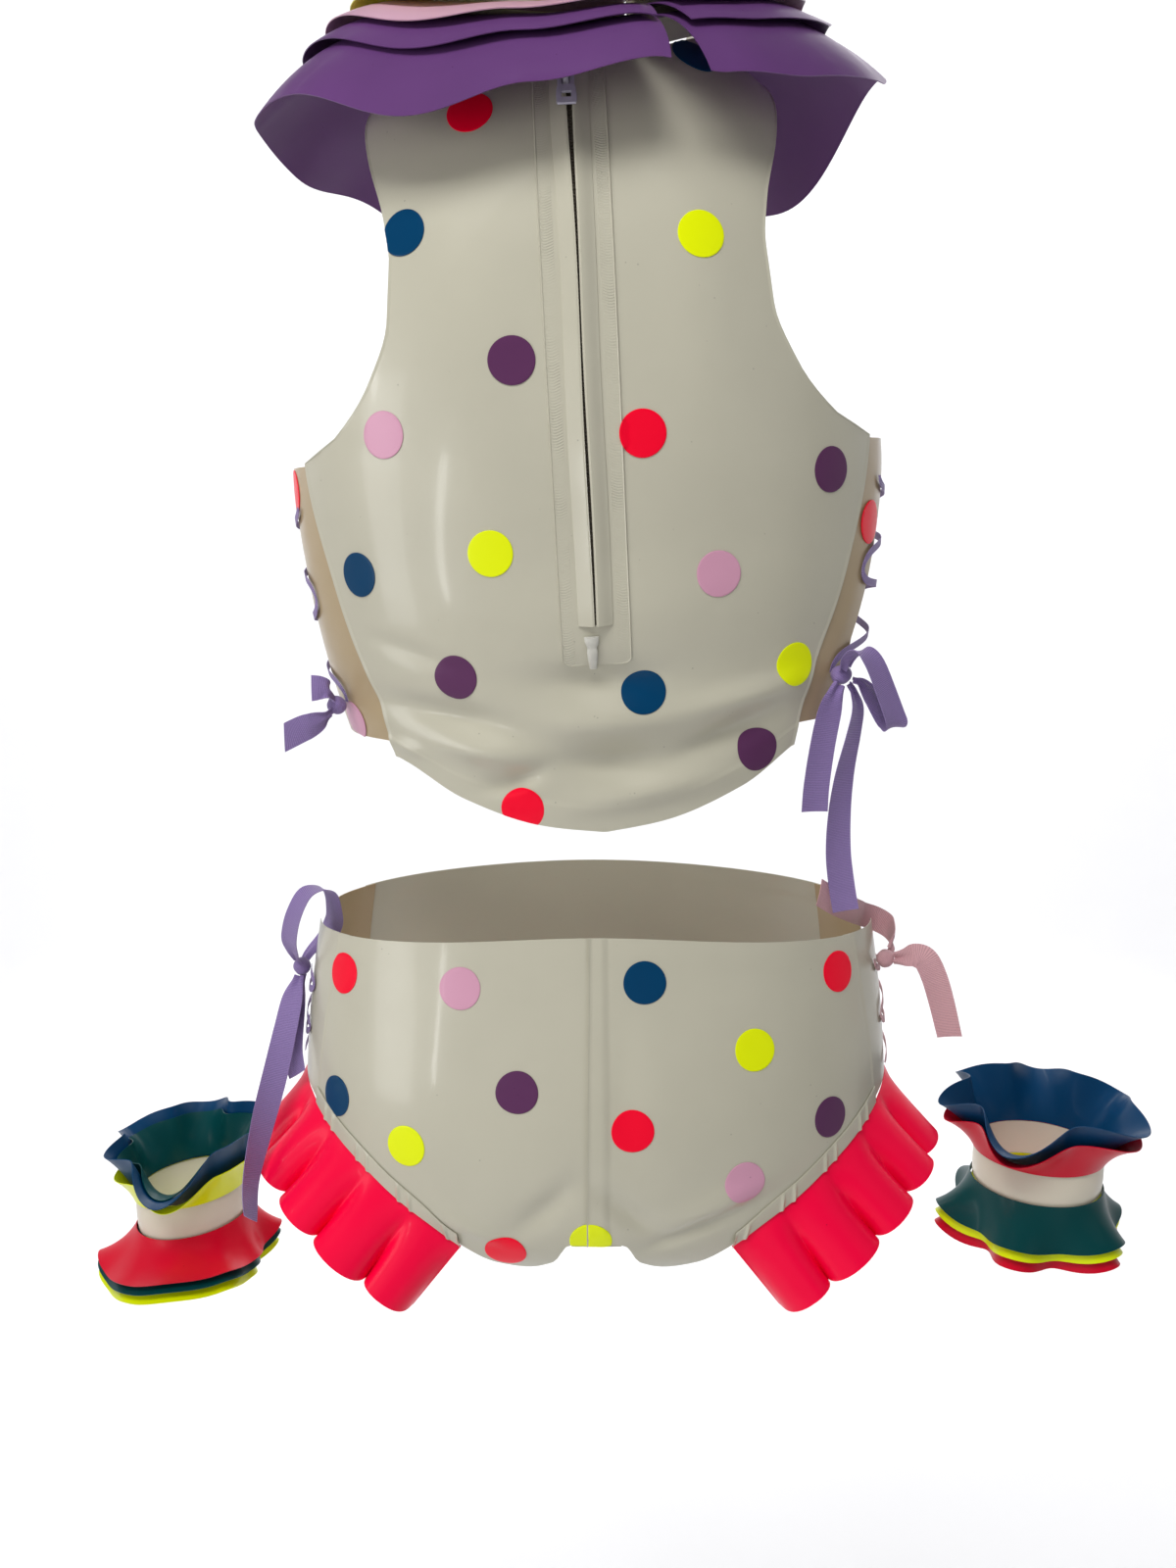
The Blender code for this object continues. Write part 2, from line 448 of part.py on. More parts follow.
def build_front():
    """Front panel, one piece over both shoulders."""
    seam = ((0.0, FRONT_SEAM), (ARMPIT, FRONT_SEAM))
    beta, level = top_grid(FRONT_COLUMNS, ARMHOLE_FRONT, {-1: seam, 1: seam}, 180.0)
    hem = between(HEM, 180.0)
    body = hem + (ARMPIT - hem) * np.asarray(BODY_STEPS)
    middle = np.concatenate([body, YOKE_LEVELS])[None, :]
    signed = np.concatenate([-beta[::-1], np.full_like(middle, -180.0), beta - 360.0])
    level = np.concatenate([level[::-1], middle, level])
    thin_wall("top_front", top_point(signed, level), "cream",
              normals=form_normal(top_point, signed, level, NECK_LEVEL))


def build_top_strips():
    """Four narrow lacing strips, behind and before the open side seams."""
    share = np.array([0.0, 0.5, 1.0])[:, None]
    steps = np.asarray(BODY_STEPS[::2] + (1.0,))[None, :]
    for side, side_name in ((-1, "left"), (1, "right")):
        hem = between(HEM, STRIP_HEM_BETA)
        level = np.broadcast_to(hem + (ARMPIT - hem) * steps, (3, steps.size))
        start = between(STRIP_SEAM[side], level) + SEAM_DEG
        back = start + (between(STRIP_EDGE[side], level) - start) * share
        front = FRONT_EDGE + (FRONT_SEAM - SEAM_DEG - FRONT_EDGE) * share
        for place, beta in (("back", back), ("front", np.broadcast_to(front, level.shape))):
            thin_wall(f"top_strip_{place}_{side_name}", top_point(side * beta, level), "tan")


def build_zip():
    """Tape behind the slit, two flaps over it, and the moulded end piece below them."""
    points, normals = back_points()
    middle = len(BACK_COLUMNS)
    tape = slice(middle - ZIP_COLUMNS, middle + ZIP_COLUMNS)
    rows = slice(ZIP_FOOT_STEP - 1, None)
    under = points[tape, rows] - (WALL + GAP) * normals[tape, rows]
    thin_wall("zip_tape", under, "cream", normals=normals[tape, rows])
    lip = GAP + FRILL_WALL
    for side, name in ((-1, "left"), (1, "right")):
        slit, outer = (middle - 1, middle - 2) if side < 0 else (middle, middle + 1)
        other = middle if side < 0 else middle - 1
        lip_points = points[slit] * (1.0 - FLAP_SHARE) + points[other] * FLAP_SHARE
        grid = np.stack([lip_points, points[slit], points[outer]])
        out = np.stack([normals[slit], normals[slit], normals[outer]])
        chosen = slice(ZIP_FOOT_STEP, None)
        thin_wall(f"zip_flap_{name}", grid[:, chosen] + lip * out[:, chosen], "cream",
                  wall=FRILL_WALL, normals=out[:, chosen])
    build_zip_end()


def build_zip_end():
    """Tapered plastic piece on the back just under the flaps."""
    level = np.linspace(ZIP_END_TOP, ZIP_END_FOOT, 4)[None, :]
    half = np.linspace(ZIP_END_HALF[0], ZIP_END_HALF[1], 4)[None, :]
    beta = np.linspace(-1.0, 1.0, 3)[:, None] * half + ZIP_END_BETA
    level = np.broadcast_to(level, beta.shape)
    normals = form_normal(top_point, beta, level, NECK_LEVEL)
    points = top_point(beta, level) + (ZIP_END_THICK + 2.0 * GAP) * normals
    thin_wall("zip_end", points, "zip_plastic", wall=ZIP_END_THICK, normals=normals)


def slider_frame():
    """Place of the slider on the flaps: its foot point, and unit vectors wide, up and out."""
    beta, level = np.array(SLIDER_BETA), np.array(SLIDER_LEVEL)
    foot, out = top_point(beta, level), form_normal(top_point, beta, level, NECK_LEVEL)
    up = top_point(beta, level + 0.1) - top_point(beta, level - 0.1)
    up = unit(up - out * np.dot(up, out))
    wide = unit(np.cross(up, -out))
    base = foot + out * (2.0 * GAP + FRILL_WALL + SLIDER_LIFT)
    return base, wide, up, out


def block_grid(base, axes, first, second, depth_from, depth, name, colour, keep=None,
               location=(0.0, 0.0, 0.0)):
    """Plate from two lists of places along axes[0] and axes[1], thick along axes[2]."""
    a = np.asarray(first)[:, None, None] * axes[0]
    b = np.asarray(second)[None, :, None] * axes[1]
    points = base + a + b + (depth_from + depth) * axes[2]
    normals = np.broadcast_to(axes[2], points.shape)
    return thin_wall(name, points, colour, wall=depth, keep=keep, normals=normals,
                     location=location)


def build_slider():
    """Slider body with the arch that carries the pull tab."""
    base, wide, up, out = slider_frame()
    half_wide, half_long, thick = SLIDER_SIZE[0] / 2, SLIDER_SIZE[1] / 2, SLIDER_SIZE[2]
    body = block_grid(base, (wide, up, out), (-half_wide, half_wide),
                      (-half_long, -half_long * SLIDER_FLAT, half_long * SLIDER_FLAT,
                       half_long), 0.0, thick, "zip_slider", "zip_plastic")
    along = (-ARCH_HALF_LENGTH, -ARCH_HALF_LENGTH + ARCH_LEG, ARCH_HALF_LENGTH - ARCH_LEG,
             ARCH_HALF_LENGTH)
    heights = (thick - ARCH_SINK, thick + ARCH_OPENING, thick + ARCH_OPENING + ARCH_TOP)
    keep = np.ones((3, 2), dtype=bool)
    keep[1, 0] = False
    arch = block_grid(base, (up, out, wide), along, heights, -ARCH_HALF_WIDTH,
                      2.0 * ARCH_HALF_WIDTH, "zip_arch_guide", "zip_plastic", keep=keep)
    arch.hide_render = True
    arch.display_type = "WIRE"
    union = body.modifiers.new("arch", "BOOLEAN")
    union.operation = "UNION"
    union.object = arch


def hinge_point():
    """Middle of the pull tab's hinge, inside the slider's arch."""
    base, wide, up, out = slider_frame()
    return base + out * (SLIDER_SIZE[2] + ARCH_OPENING / 2.0), wide, up, out


def build_pull():
    """Pull tab: an eye round the arch, two prongs and a slotted tab, origin on the hinge."""
    hinge, wide, up, out = hinge_point()
    heights = np.array([row[0] for row in PULL_ROWS])
    half = np.array([row[1] for row in PULL_ROWS])
    inner = np.where(np.arange(len(heights)) < 3, PULL_EYE_HALF, PULL_SLOT_HALF)
    across = np.stack([-half, -inner, inner, half])
    points = (across[..., None] * wide + heights[None, :, None] * up
              + (PULL_WALL / 2.0) * out)
    keep = np.ones((3, len(heights) - 1), dtype=bool)
    keep[1, 1] = False
    keep[1, 4] = False
    thin_wall("zip_pull", points, "zip_plastic", wall=PULL_WALL, keep=keep,
              normals=np.broadcast_to(out, points.shape), location=tuple(map(float, hinge)))


# ---- ruff -----------------------------------------------------------------------------------------
def ruff_azimuths(count, part_deg):
    """Azimuths round the neck from one open end to the other."""
    middle = 270.0 + RUFF_GAP_BETA
    return middle + np.linspace(part_deg, 360.0 - part_deg, count + 1)


def neck_ring(azimuth):
    """Neck edge of the top before the body's lean, and the way out from it."""
    ring = section_point(TOP_ROWS, azimuth, np.full_like(azimuth, NECK_LEVEL))
    out = np.stack([np.cos(np.radians(azimuth)), np.sin(np.radians(azimuth)),
                    np.zeros_like(azimuth)], axis=-1)
    return ring, out


def build_ruff_band():
    """Standing neck band that carries the four layers."""
    azimuth = ruff_azimuths(RUFF_BAND_COLUMNS, RUFF_BAND_PART)
    ring, _ = neck_ring(azimuth)
    height = np.array([0.0, 0.5, 1.0])[None, :, None] * RUFF_BAND + RUFF_SEAT
    points = ring[:, None, :] + height * np.array([0.0, 0.0, 1.0])
    thin_wall("ruff_band", lean(points), "cream")


def ruff_layer_point(azimuth, share, start, factor, turn):
    """Drooping layer: an arc that leaves the band level and bends down, with waves that
    grow towards its edge.  share runs from the band (0) to the edge (1)."""
    ring, out = neck_ring(azimuth)
    s = np.sin(np.radians(azimuth))
    backness = np.clip(-s, 0.0, 1.0) ** 1.5
    frontness = np.clip(s, 0.0, 1.0) ** 1.5
    full = RUFF_SIDE + (RUFF_BACK - RUFF_SIDE) * np.maximum(backness,
                                                            RUFF_FRONT_SHARE * frontness)
    bend = np.radians(RUFF_BEND_DEG + RUFF_BEND_BACK * backness + RUFF_BEND_FRONT * frontness)
    q = share * factor * full
    angle = bend * q / full
    run = np.sin(angle) * full / bend
    drop = (1.0 - np.cos(angle)) * full / bend
    wave = (RUFF_WAVE * (share * factor) ** RUFF_WAVE_GROWTH
            * round_table(RUFF_WAVES, azimuth + turn))
    rise = start - drop + wave
    points = ring + out * (run + RUFF_ROOT)[..., None]
    points[..., 2] = points[..., 2] + rise
    return lean(points)


def build_ruff_layers():
    """Four layers, the longest lowest, each open at the back."""
    for name, start, factor, turn, colour, count, rows in RUFF_LAYERS:
        share = np.linspace(0.0, 1.0, rows + 1)[None, :]
        around = np.linspace(0.0, 1.0, count + 1)[:, None]
        part = RUFF_LAYER_PART + (RUFF_GAP_DEG - RUFF_LAYER_PART) * share
        azimuth = 270.0 + RUFF_GAP_BETA + part + (360.0 - 2.0 * part) * around
        points = ruff_layer_point(azimuth, np.broadcast_to(share, azimuth.shape), start,
                                  factor, turn)
        points = points + np.array([0.0, 0.0, FRILL_WALL / 2.0])
        thin_wall(name, points, colour, wall=FRILL_WALL)


# ---- briefs ---------------------------------------------------------------------------------------
def briefs_grid(betas, table):
    """Levels of a briefs panel from its leg edge to the waist."""
    beta = np.asarray(betas, float)[:, None]
    foot = between(table, beta)
    level = foot + (WAIST_LEVEL - foot) * np.asarray(BRIEFS_STEPS)[None, :]
    return np.broadcast_to(beta, level.shape), level


def build_briefs_panels():
    """Back halves, front and lacing strips."""
    for side, name in ((-1, "left"), (1, "right")):
        betas = (0.12, 7.0, 12.0, 20.0, 27.5, 33.5, 40.0, 46.0, 54.0, 62.0, STRIP_IN - SEAM_DEG)
        beta, level = briefs_grid(betas, LEG_BACK)
        signed = side * beta + np.where(beta < 1.0, BACK_SEAM_BETA, 0.0)
        thin_wall(f"briefs_back_{name}", briefs_point(signed, level), "cream")
        for place, start, end, table in (("back", STRIP_IN, STRIP_OUT, LEG_BACK),
                                         ("front", FRONT_EDGE, FRONT_SEAM, LEG_FRONT)):
            betas = np.linspace(start + SEAM_DEG, end - SEAM_DEG, 3)
            beta, level = briefs_grid(betas, table)
            thin_wall(f"briefs_strip_{place}_{name}",
                      briefs_point(side * beta[:, ::2], level[:, ::2]), "tan")
    half = (FRONT_SEAM + SEAM_DEG, 120.0, 132.0, 142.0, 152.0, 162.0, 171.0, 180.0)
    betas = np.array(half + tuple(360.0 - b for b in reversed(half[:-1])))
    mirrored = np.minimum(betas, 360.0 - betas)
    _, level = briefs_grid(mirrored, LEG_FRONT)
    points = briefs_point(np.broadcast_to(betas[:, None], level.shape), level)
    thin_wall("briefs_front", points, "cream")


def build_gusset():
    """Crotch piece lofted from the back's lower edge to the front's."""
    across = np.linspace(-1.0, 1.0, 5)
    back = briefs_point(across * GUSSET_BETA_BACK, np.full(5, LEG_BACK[0][1]))
    front = briefs_point(180.0 - across * (180.0 - GUSSET_BETA_FRONT),
                         np.full(5, LEG_FRONT[-1][1]))
    middle_back, middle_front = back[2], front[2]
    t = np.linspace(0.0, 1.0, 9)[None, :, None]
    pull_back = middle_back + np.array(GUSSET_PULL_BACK) * GUSSET_DROP
    pull_front = middle_front + np.array(GUSSET_PULL_FRONT) * GUSSET_DROP
    spine = ((1 - t) ** 3 * middle_back + 3 * (1 - t) ** 2 * t * pull_back
             + 3 * (1 - t) * t ** 2 * pull_front + t ** 3 * middle_front)
    edge = ((back - middle_back)[:, None, :] * (1 - t) ** 2
            + (front - middle_front)[:, None, :] * t ** 2)
    wider = across[:, None, None] * GUSSET_WAIST * np.array([1.0, 0.0, 0.0]) * 2.0 * t * (1 - t)
    points = spine + edge + wider - np.array([0.0, 0.0, GUSSET_SEAM])
    thin_wall("briefs_gusset", points, "cream")


def leg_edge(side, count):
    """Leg edge of the back from the buttock to the side: points, along, out and down."""
    beta = np.linspace(CASING_END, STRIP_OUT - 1.0, count)
    level = between(LEG_BACK, beta)
    points = briefs_point(side * beta, level)
    out = form_normal(briefs_point, side * beta, level, WAIST_LEVEL)
    along = unit(np.gradient(points, axis=0))
    across = unit(np.cross(along, out))
    down = np.where(across[:, 2:3] > 0.0, -across, across)
    return points, along, out, down


def build_casings_and_frills():
    """Frill casing on the leg edge, and the box-pleated frill that hangs from it."""
    for side, name in ((-1, "left"), (1, "right")):
        betas = (CASING_END, 40.0, 46.0, 54.0, 62.0, STRIP_IN - SEAM_DEG)
        beta, level = briefs_grid(betas, LEG_BACK)
        panel = briefs_point(side * beta, level)
        normals = form_normal(briefs_point, side * beta, level, WAIST_LEVEL)
        lift = GAP + FRILL_WALL
        thin_wall(f"frill_casing_{name}", panel[:, :2] + lift * normals[:, :2], "cream",
                  wall=FRILL_WALL, normals=normals[:, :2])
        count = LOBES * LOBE_SAMPLES + 1
        points, along, out, down = leg_edge(side, count)
        place = np.linspace(0.0, LOBES, count)
        crown = (((np.sin(np.pi * place) ** 2 + LOBE_FLATNESS) / (1.0 + LOBE_FLATNESS))
                 ** LOBE_CROWN - LOBE_SINK)
        sway = np.sin(2.0 * np.pi * place)
        flare = math.radians(FRILL_FLARE_DEG)
        hang = down * math.cos(flare) + out * math.sin(flare)
        face = out * math.cos(flare) - down * math.sin(flare)
        share = np.linspace(0.0, 1.0, 4)[None, :, None]
        root = points + down * FRILL_ROOT
        grid = (root[:, None] + share * FRILL_LENGTH * hang[:, None]
                + share * (LOBE_HEIGHT * crown)[:, None, None] * face[:, None]
                - share * (LOBE_SWELL * sway)[:, None, None] * along[:, None])
        thin_wall(f"frill_{name}", grid, "red", wall=FRILL_WALL)


# ---- cuffs ----------------------------------------------------------------------------------------
def cuff_ring(cuff, azimuth, outward, rise):
    """Points round a wrist, moved out and up, with the cuff's tilt."""
    c, s = np.cos(np.radians(azimuth)), np.sin(np.radians(azimuth))
    x = (cuff["half"][0] + outward) * c
    y = (cuff["half"][1] + outward) * s
    z = rise + math.tan(math.radians(cuff["tilt_deg"])) * x
    return np.stack([x, y, z], axis=-1) + np.array(cuff["centre"])


def cuff_layer(cuff, way, length, step, share):
    """Flared frill of a cuff: way is 1 upwards and -1 downwards, step counts the layers
    from the middle one outwards; the flare grows along the frill."""
    azimuth = np.linspace(0.0, 360.0, CUFF_SEGMENTS, endpoint=False)[:, None]
    flare = round_table(cuff["up" if way > 0 else "down"], azimuth) + CUFF_STEP_FLARE * step
    angle = np.radians(flare) * (CUFF_FLARE_START + (1.0 - CUFF_FLARE_START) * share)
    run = step * CUFF_STEP + share * length * np.sin(angle)
    rise = CUFF_BAND / 2.0 + GAP - step * CUFF_STEP + share * length * np.cos(angle)
    return cuff_ring(cuff, np.broadcast_to(azimuth, run.shape), run, way * rise)


def build_cuffs():
    """Band, upper frills and lower frills of both cuffs."""
    for name, cuff in CUFFS.items():
        centre = cuff["centre"]
        azimuth = np.linspace(0.0, 360.0, CUFF_SEGMENTS, endpoint=False)[:, None]
        rise = np.array([-0.5, 0.5])[None, :] * CUFF_BAND
        outward = np.zeros((CUFF_SEGMENTS, 2))
        band = cuff_ring(cuff, np.broadcast_to(azimuth, outward.shape), outward,
                         np.broadcast_to(rise, outward.shape))
        thin_wall(f"cuff_band_{name}", band, "cream", closed=True, centre=centre)
        share = np.array(CUFF_SHARES)[None, :]
        for way, place in ((1, "up"), (-1, "down")):
            for colour, length, step in cuff[f"{place}_layers"]:
                points = cuff_layer(cuff, way, length, step, share)
                thin_wall(f"cuff_{name}_{place}_{colour}", points, colour, wall=FRILL_WALL,
                          closed=True, centre=centre)


# ---- ribbons --------------------------------------------------------------------------------------
def garment_form(garment):
    """Form, and its highest level, of a garment."""
    return (top_point, NECK_LEVEL) if garment == "top" else (briefs_point, WAIST_LEVEL)


def build_lacings():
    """Ribbon drawn to and fro across each open side, and the knot at its lower end."""
    for garment, side, first, last, crossings, beyond, colour in LACINGS:
        name = f"{garment}_{'left' if side < 0 else 'right'}"
        form, highest = garment_form(garment)
        t = np.linspace(0.0, 1.0, LACE_SAMPLES * crossings + 1)
        level = first + (last - first) * t
        if garment == "top":
            edge, seam = between(STRIP_EDGE[side], level), between(STRIP_SEAM[side], level)
        else:
            edge, seam = STRIP_OUT, STRIP_IN
        behind = edge - HOLE_SHARE * (edge - seam)
        before = FRONT_EDGE + HOLE_SHARE * (FRONT_SEAM - FRONT_EDGE)
        swing = (np.tanh(LACE_HOLD * np.cos(np.pi * (crossings * (t - 1.0) + beyond)))
                 / math.tanh(LACE_HOLD))
        beta = (before + behind) / 2.0 - (before - behind) / 2.0 * swing
        points = form(side * beta, level)
        out = form_normal(form, side * beta, level, highest)
        along = unit(np.gradient(points, axis=0))
        across = unit(np.cross(out, along)) * LACE_WIDTH / 2.0
        middle = points + (LACE_LIFT + RIBBON_WALL) * out
        grid = np.stack([middle - across, middle + across])
        thin_wall(f"{name}_lacing", grid, f"ribbon_{colour}", wall=RIBBON_WALL,
                  normals=np.stack([out, out]))
        build_knot(f"{name}_knot", points[-1] + KNOT_LIFT * out[-1], out[-1],
                   f"ribbon_{colour}")


def build_knot(name, centre, out, colour):
    """Round knot, flattened towards the cloth."""
    up = np.array([0.0, 0.0, 1.0])
    wide = unit(np.cross(up, out))
    turned = unit(np.cross(out, wide))
    azimuth = np.linspace(0.0, 2.0 * np.pi, KNOT_TURNS, endpoint=False)
    height = np.linspace(-np.pi / 2.0, np.pi / 2.0, KNOT_RINGS + 1)[1:-1]
    a, h = np.meshgrid(azimuth, height, indexing="ij")
    local = np.stack([np.cos(h) * np.cos(a), np.cos(h) * np.sin(a), np.sin(h)], axis=-1)
    local = local.reshape(-1, 3) * np.array(KNOT_HALF)
    axes = np.stack([wide, out, turned])
    vertices = [centre + p @ axes for p in local]
    vertices += [centre - KNOT_HALF[2] * turned, centre + KNOT_HALF[2] * turned]
    rows = KNOT_RINGS - 1
    faces = []
    for i in range(KNOT_TURNS):
        k = (i + 1) % KNOT_TURNS
        faces += [(i * rows + j, k * rows + j, k * rows + j + 1, i * rows + j + 1)
                  for j in range(rows - 1)]
        faces.append((KNOT_TURNS * rows, k * rows, i * rows))
        faces.append((KNOT_TURNS * rows + 1, i * rows + rows - 1, k * rows + rows - 1))
    volume_sign = np.dot(np.cross(axes[0], axes[1]), axes[2])
    if volume_sign < 0.0:
        faces = [face[::-1] for face in faces]
    add_object(name, vertices, faces, colour)


def build_tails():
    """Free ribbon ends and bow loops, flat strips along their routes."""
    for name, colour, tied, route, across_start, across_end in TAILS:
        samples = TAIL_SAMPLES if tied == 1 else BOW_SAMPLES
        line = curve_through(route, samples)
        along = unit(np.gradient(line, axis=0))
        t = np.linspace(0.0, 1.0, samples)[:, None]
        hint = (1.0 - t) * unit(np.array(across_start, float)) + t * unit(
            np.array(across_end, float))
        across = unit(hint - along * np.sum(hint * along, axis=-1, keepdims=True))
        out = unit(np.cross(across, along))
        run = t * np.linalg.norm(np.diff(line, axis=0), axis=1).sum()
        gathered = np.exp(-(run / TAIL_NECK_RUN) ** 2)
        if tied == 2:
            gathered = gathered + np.exp(-((run[-1] - run) / TAIL_NECK_RUN) ** 2)
        half = across * RIBBON_WIDTH / 2.0 * (1.0 - (1.0 - TAIL_NECK) * gathered)
        grid = np.stack([line - half, line + half]) + 0.5 * RIBBON_WALL * out
        thin_wall(name, grid, f"ribbon_{colour}", wall=RIBBON_WALL,
                  normals=np.stack([out, out]))


def main():
    """Remove what the scene holds and build the costume."""
    for old in list(bpy.data.objects):
        bpy.data.objects.remove(old, do_unlink=True)
    build_back()
    build_front()
    build_top_strips()
    build_zip()
    build_slider()
    build_pull()
    build_ruff_band()
    build_ruff_layers()
    build_briefs_panels()
    build_gusset()
    build_casings_and_frills()
    build_cuffs()
    build_lacings()
    build_tails()


main()
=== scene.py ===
"""Dressed look of a latex clown costume: zipped crop top with a ruff, laced briefs, two cuffs.

Metres, +Z up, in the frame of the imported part: the wearer faces +Y, so the zipped back faces
-Y.  A place on the body is given by `beta`, signed degrees round from the middle of the back
(negative towards -X), and by `level`, the row of a section table.
"""
import functools
import logging
import math
from collections.abc import Callable
from dataclasses import dataclass, field
from enum import Enum
from typing import ClassVar

import bpy
import numpy as np
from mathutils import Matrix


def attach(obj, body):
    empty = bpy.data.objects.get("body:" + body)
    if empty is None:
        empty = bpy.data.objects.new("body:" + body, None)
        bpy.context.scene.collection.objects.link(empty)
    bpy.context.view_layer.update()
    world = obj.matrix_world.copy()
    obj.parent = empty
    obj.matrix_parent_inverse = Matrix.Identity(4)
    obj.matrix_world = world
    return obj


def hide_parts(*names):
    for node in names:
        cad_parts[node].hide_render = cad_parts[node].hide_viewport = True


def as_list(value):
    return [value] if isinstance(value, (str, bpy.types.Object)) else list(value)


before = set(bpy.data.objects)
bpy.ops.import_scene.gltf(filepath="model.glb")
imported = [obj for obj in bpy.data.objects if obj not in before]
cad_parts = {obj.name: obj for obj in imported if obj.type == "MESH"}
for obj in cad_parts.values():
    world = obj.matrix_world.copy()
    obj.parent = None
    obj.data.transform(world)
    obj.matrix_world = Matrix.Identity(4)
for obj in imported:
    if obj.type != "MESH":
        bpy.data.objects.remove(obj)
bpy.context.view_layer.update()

LOG = logging.getLogger("costume")
Array = np.ndarray
Table = tuple[tuple[float, ...], ...]
Triple = tuple[float, float, float]
Piece = bpy.types.Object
Socket = bpy.types.NodeSocket

LATEX = 0.0005            # thickness of the sheet
RIBBON_THICK = 0.0004
LIFT = 0.0001             # air left between layers that lie on each other
FRILL_WALL = 0.0010       # thickness that the frills' solids keep
BACK = 270.0              # azimuth of the middle of the back, where beta is 0
UP = np.array([0.0, 0.0, 1.0])
SIDES = ((-1, "left"), (1, "right"))


class Body(Enum):
    """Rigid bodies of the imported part."""

    GARMENT = "garment"
    PULL = "zip_pull"


class Hold(Enum):
    STRETCHED = "stretched"
    GATHERED = "gathered"


# ---- curves and tables
def unit(vectors: Array) -> Array:
    """Brings vectors to length one along the last axis."""
    return vectors / np.maximum(np.linalg.norm(vectors, axis=-1, keepdims=True), 1e-12)


def compass(azimuth: Array) -> Array:
    """Level unit vectors towards azimuths in degrees."""
    turn = np.radians(azimuth)
    return np.stack([np.cos(turn), np.sin(turn), np.zeros_like(turn)], axis=-1)


def turns(count: int) -> Array:
    """Angles in radians, evenly round one full turn."""
    return np.linspace(0.0, 2.0 * np.pi, count, endpoint=False)


def grow(count: int) -> Array:
    """Shares from 0 to 1, as one row of a grid."""
    return np.linspace(0.0, 1.0, count)[None, :]


def bell(value: Array, middle: float, width: float) -> Array:
    """Bell of height 1 round a middle."""
    return np.exp(-((value - middle) / width) ** 2)


def lengths_along(points: Array, axis: int = 0) -> Array:
    """Length from the start of each line of points along an axis."""
    steps = np.linalg.norm(np.diff(points, axis=axis), axis=-1)
    return np.insert(np.cumsum(steps, axis=axis), 0, 0.0, axis=axis)


def cubic(t: Array, start: Array, end: Array, leave: Array, arrive: Array) -> Array:
    """Cubic curve from start to end, with its slopes at both, at shares t of the way."""
    return ((2 * t**3 - 3 * t**2 + 1) * start + (t**3 - 2 * t**2 + t) * leave
            + (3 * t**2 - 2 * t**3) * end + (t**3 - t**2) * arrive)


def smooth_rows(rows: Table, level: Array) -> Array:
    """Reads a table of rows at a level, on a cubic curve through its rows.

    Args:
        rows: the table, one row a level.
        level: levels to read, of any shape.

    Returns:
        The row at each level, with the columns on the last axis.
    """
    values = np.asarray(rows, float)
    level = np.clip(np.asarray(level, float), 0.0, len(values) - 1.0)
    low = np.minimum(level.astype(int), len(values) - 2)
    slope = np.gradient(values, axis=0)
    return cubic((level - low)[..., None], values[low], values[low + 1], slope[low], slope[low + 1])


def smooth_table(table: Table, x: Array) -> Array:
    """Reads (place, value) pairs at x on a cubic curve that never overshoots its pairs.

    Args:
        table: pairs in order of place.
        x: places to read.

    Returns:
        The value at each place.
    """
    places, values = np.array(table, float).T
    rise = np.diff(values) / np.diff(places)
    slope = np.zeros_like(values)
    same = rise[:-1] * rise[1:] > 0.0
    slope[1:-1][same] = 2.0 * rise[:-1][same] * rise[1:][same] / (rise[:-1] + rise[1:])[same]
    slope[0], slope[-1] = rise[0], rise[-1]
    x = np.clip(np.asarray(x, float), places[0], places[-1])
    low = np.clip(np.searchsorted(places, x, side="right") - 1, 0, len(places) - 2)
    step = places[low + 1] - places[low]
    return cubic((x - places[low]) / step, values[low], values[low + 1], step * slope[low],
                 step * slope[low + 1])


def round_table(table: Table, azimuth: Array) -> Array:
    """Reads (azimuth, value) pairs that close on themselves, on a cosine curve."""
    places, values = np.array(sorted(table), float).T
    places = np.concatenate([[places[-1] - 360.0], places, [places[0] + 360.0]])
    values = np.concatenate([[values[-1]], values, [values[0]]])
    azimuth = np.mod(azimuth, 360.0)
    low = np.clip(np.searchsorted(places, azimuth, side="right") - 1, 0, len(places) - 2)
    t = (azimuth - places[low]) / (places[low + 1] - places[low])
    return values[low] + (values[low + 1] - values[low]) * (1.0 - np.cos(np.pi * t)) / 2.0


def curve_through(points: Table, samples: int) -> Array:
    """Evenly sampled smooth curve through given points."""
    fine = smooth_rows(points, np.linspace(0.0, len(points) - 1.0, 40 * len(points)))
    length = lengths_along(fine)
    even = np.linspace(0.0, length[-1], samples)
    return np.stack([np.interp(even, length, fine[:, axis]) for axis in range(3)], axis=-1)


def step_up(value: Array, start: float, end: float) -> Array:
    """Soft step from 0 at start to 1 at end."""
    t = np.clip((value - start) / (end - start), 0.0, 1.0)
    return t * t * (3.0 - 2.0 * t)


def linear(red: float, green: float, blue: float) -> tuple[float, float, float, float]:
    """Colour for a shader socket from the eight-bit values of a paint chart."""
    values = [v / 255.0 for v in (red, green, blue)]
    powered = [v / 12.92 if v <= 0.04045 else ((v + 0.055) / 1.055) ** 2.4 for v in values]
    return (powered[0], powered[1], powered[2], 1.0)


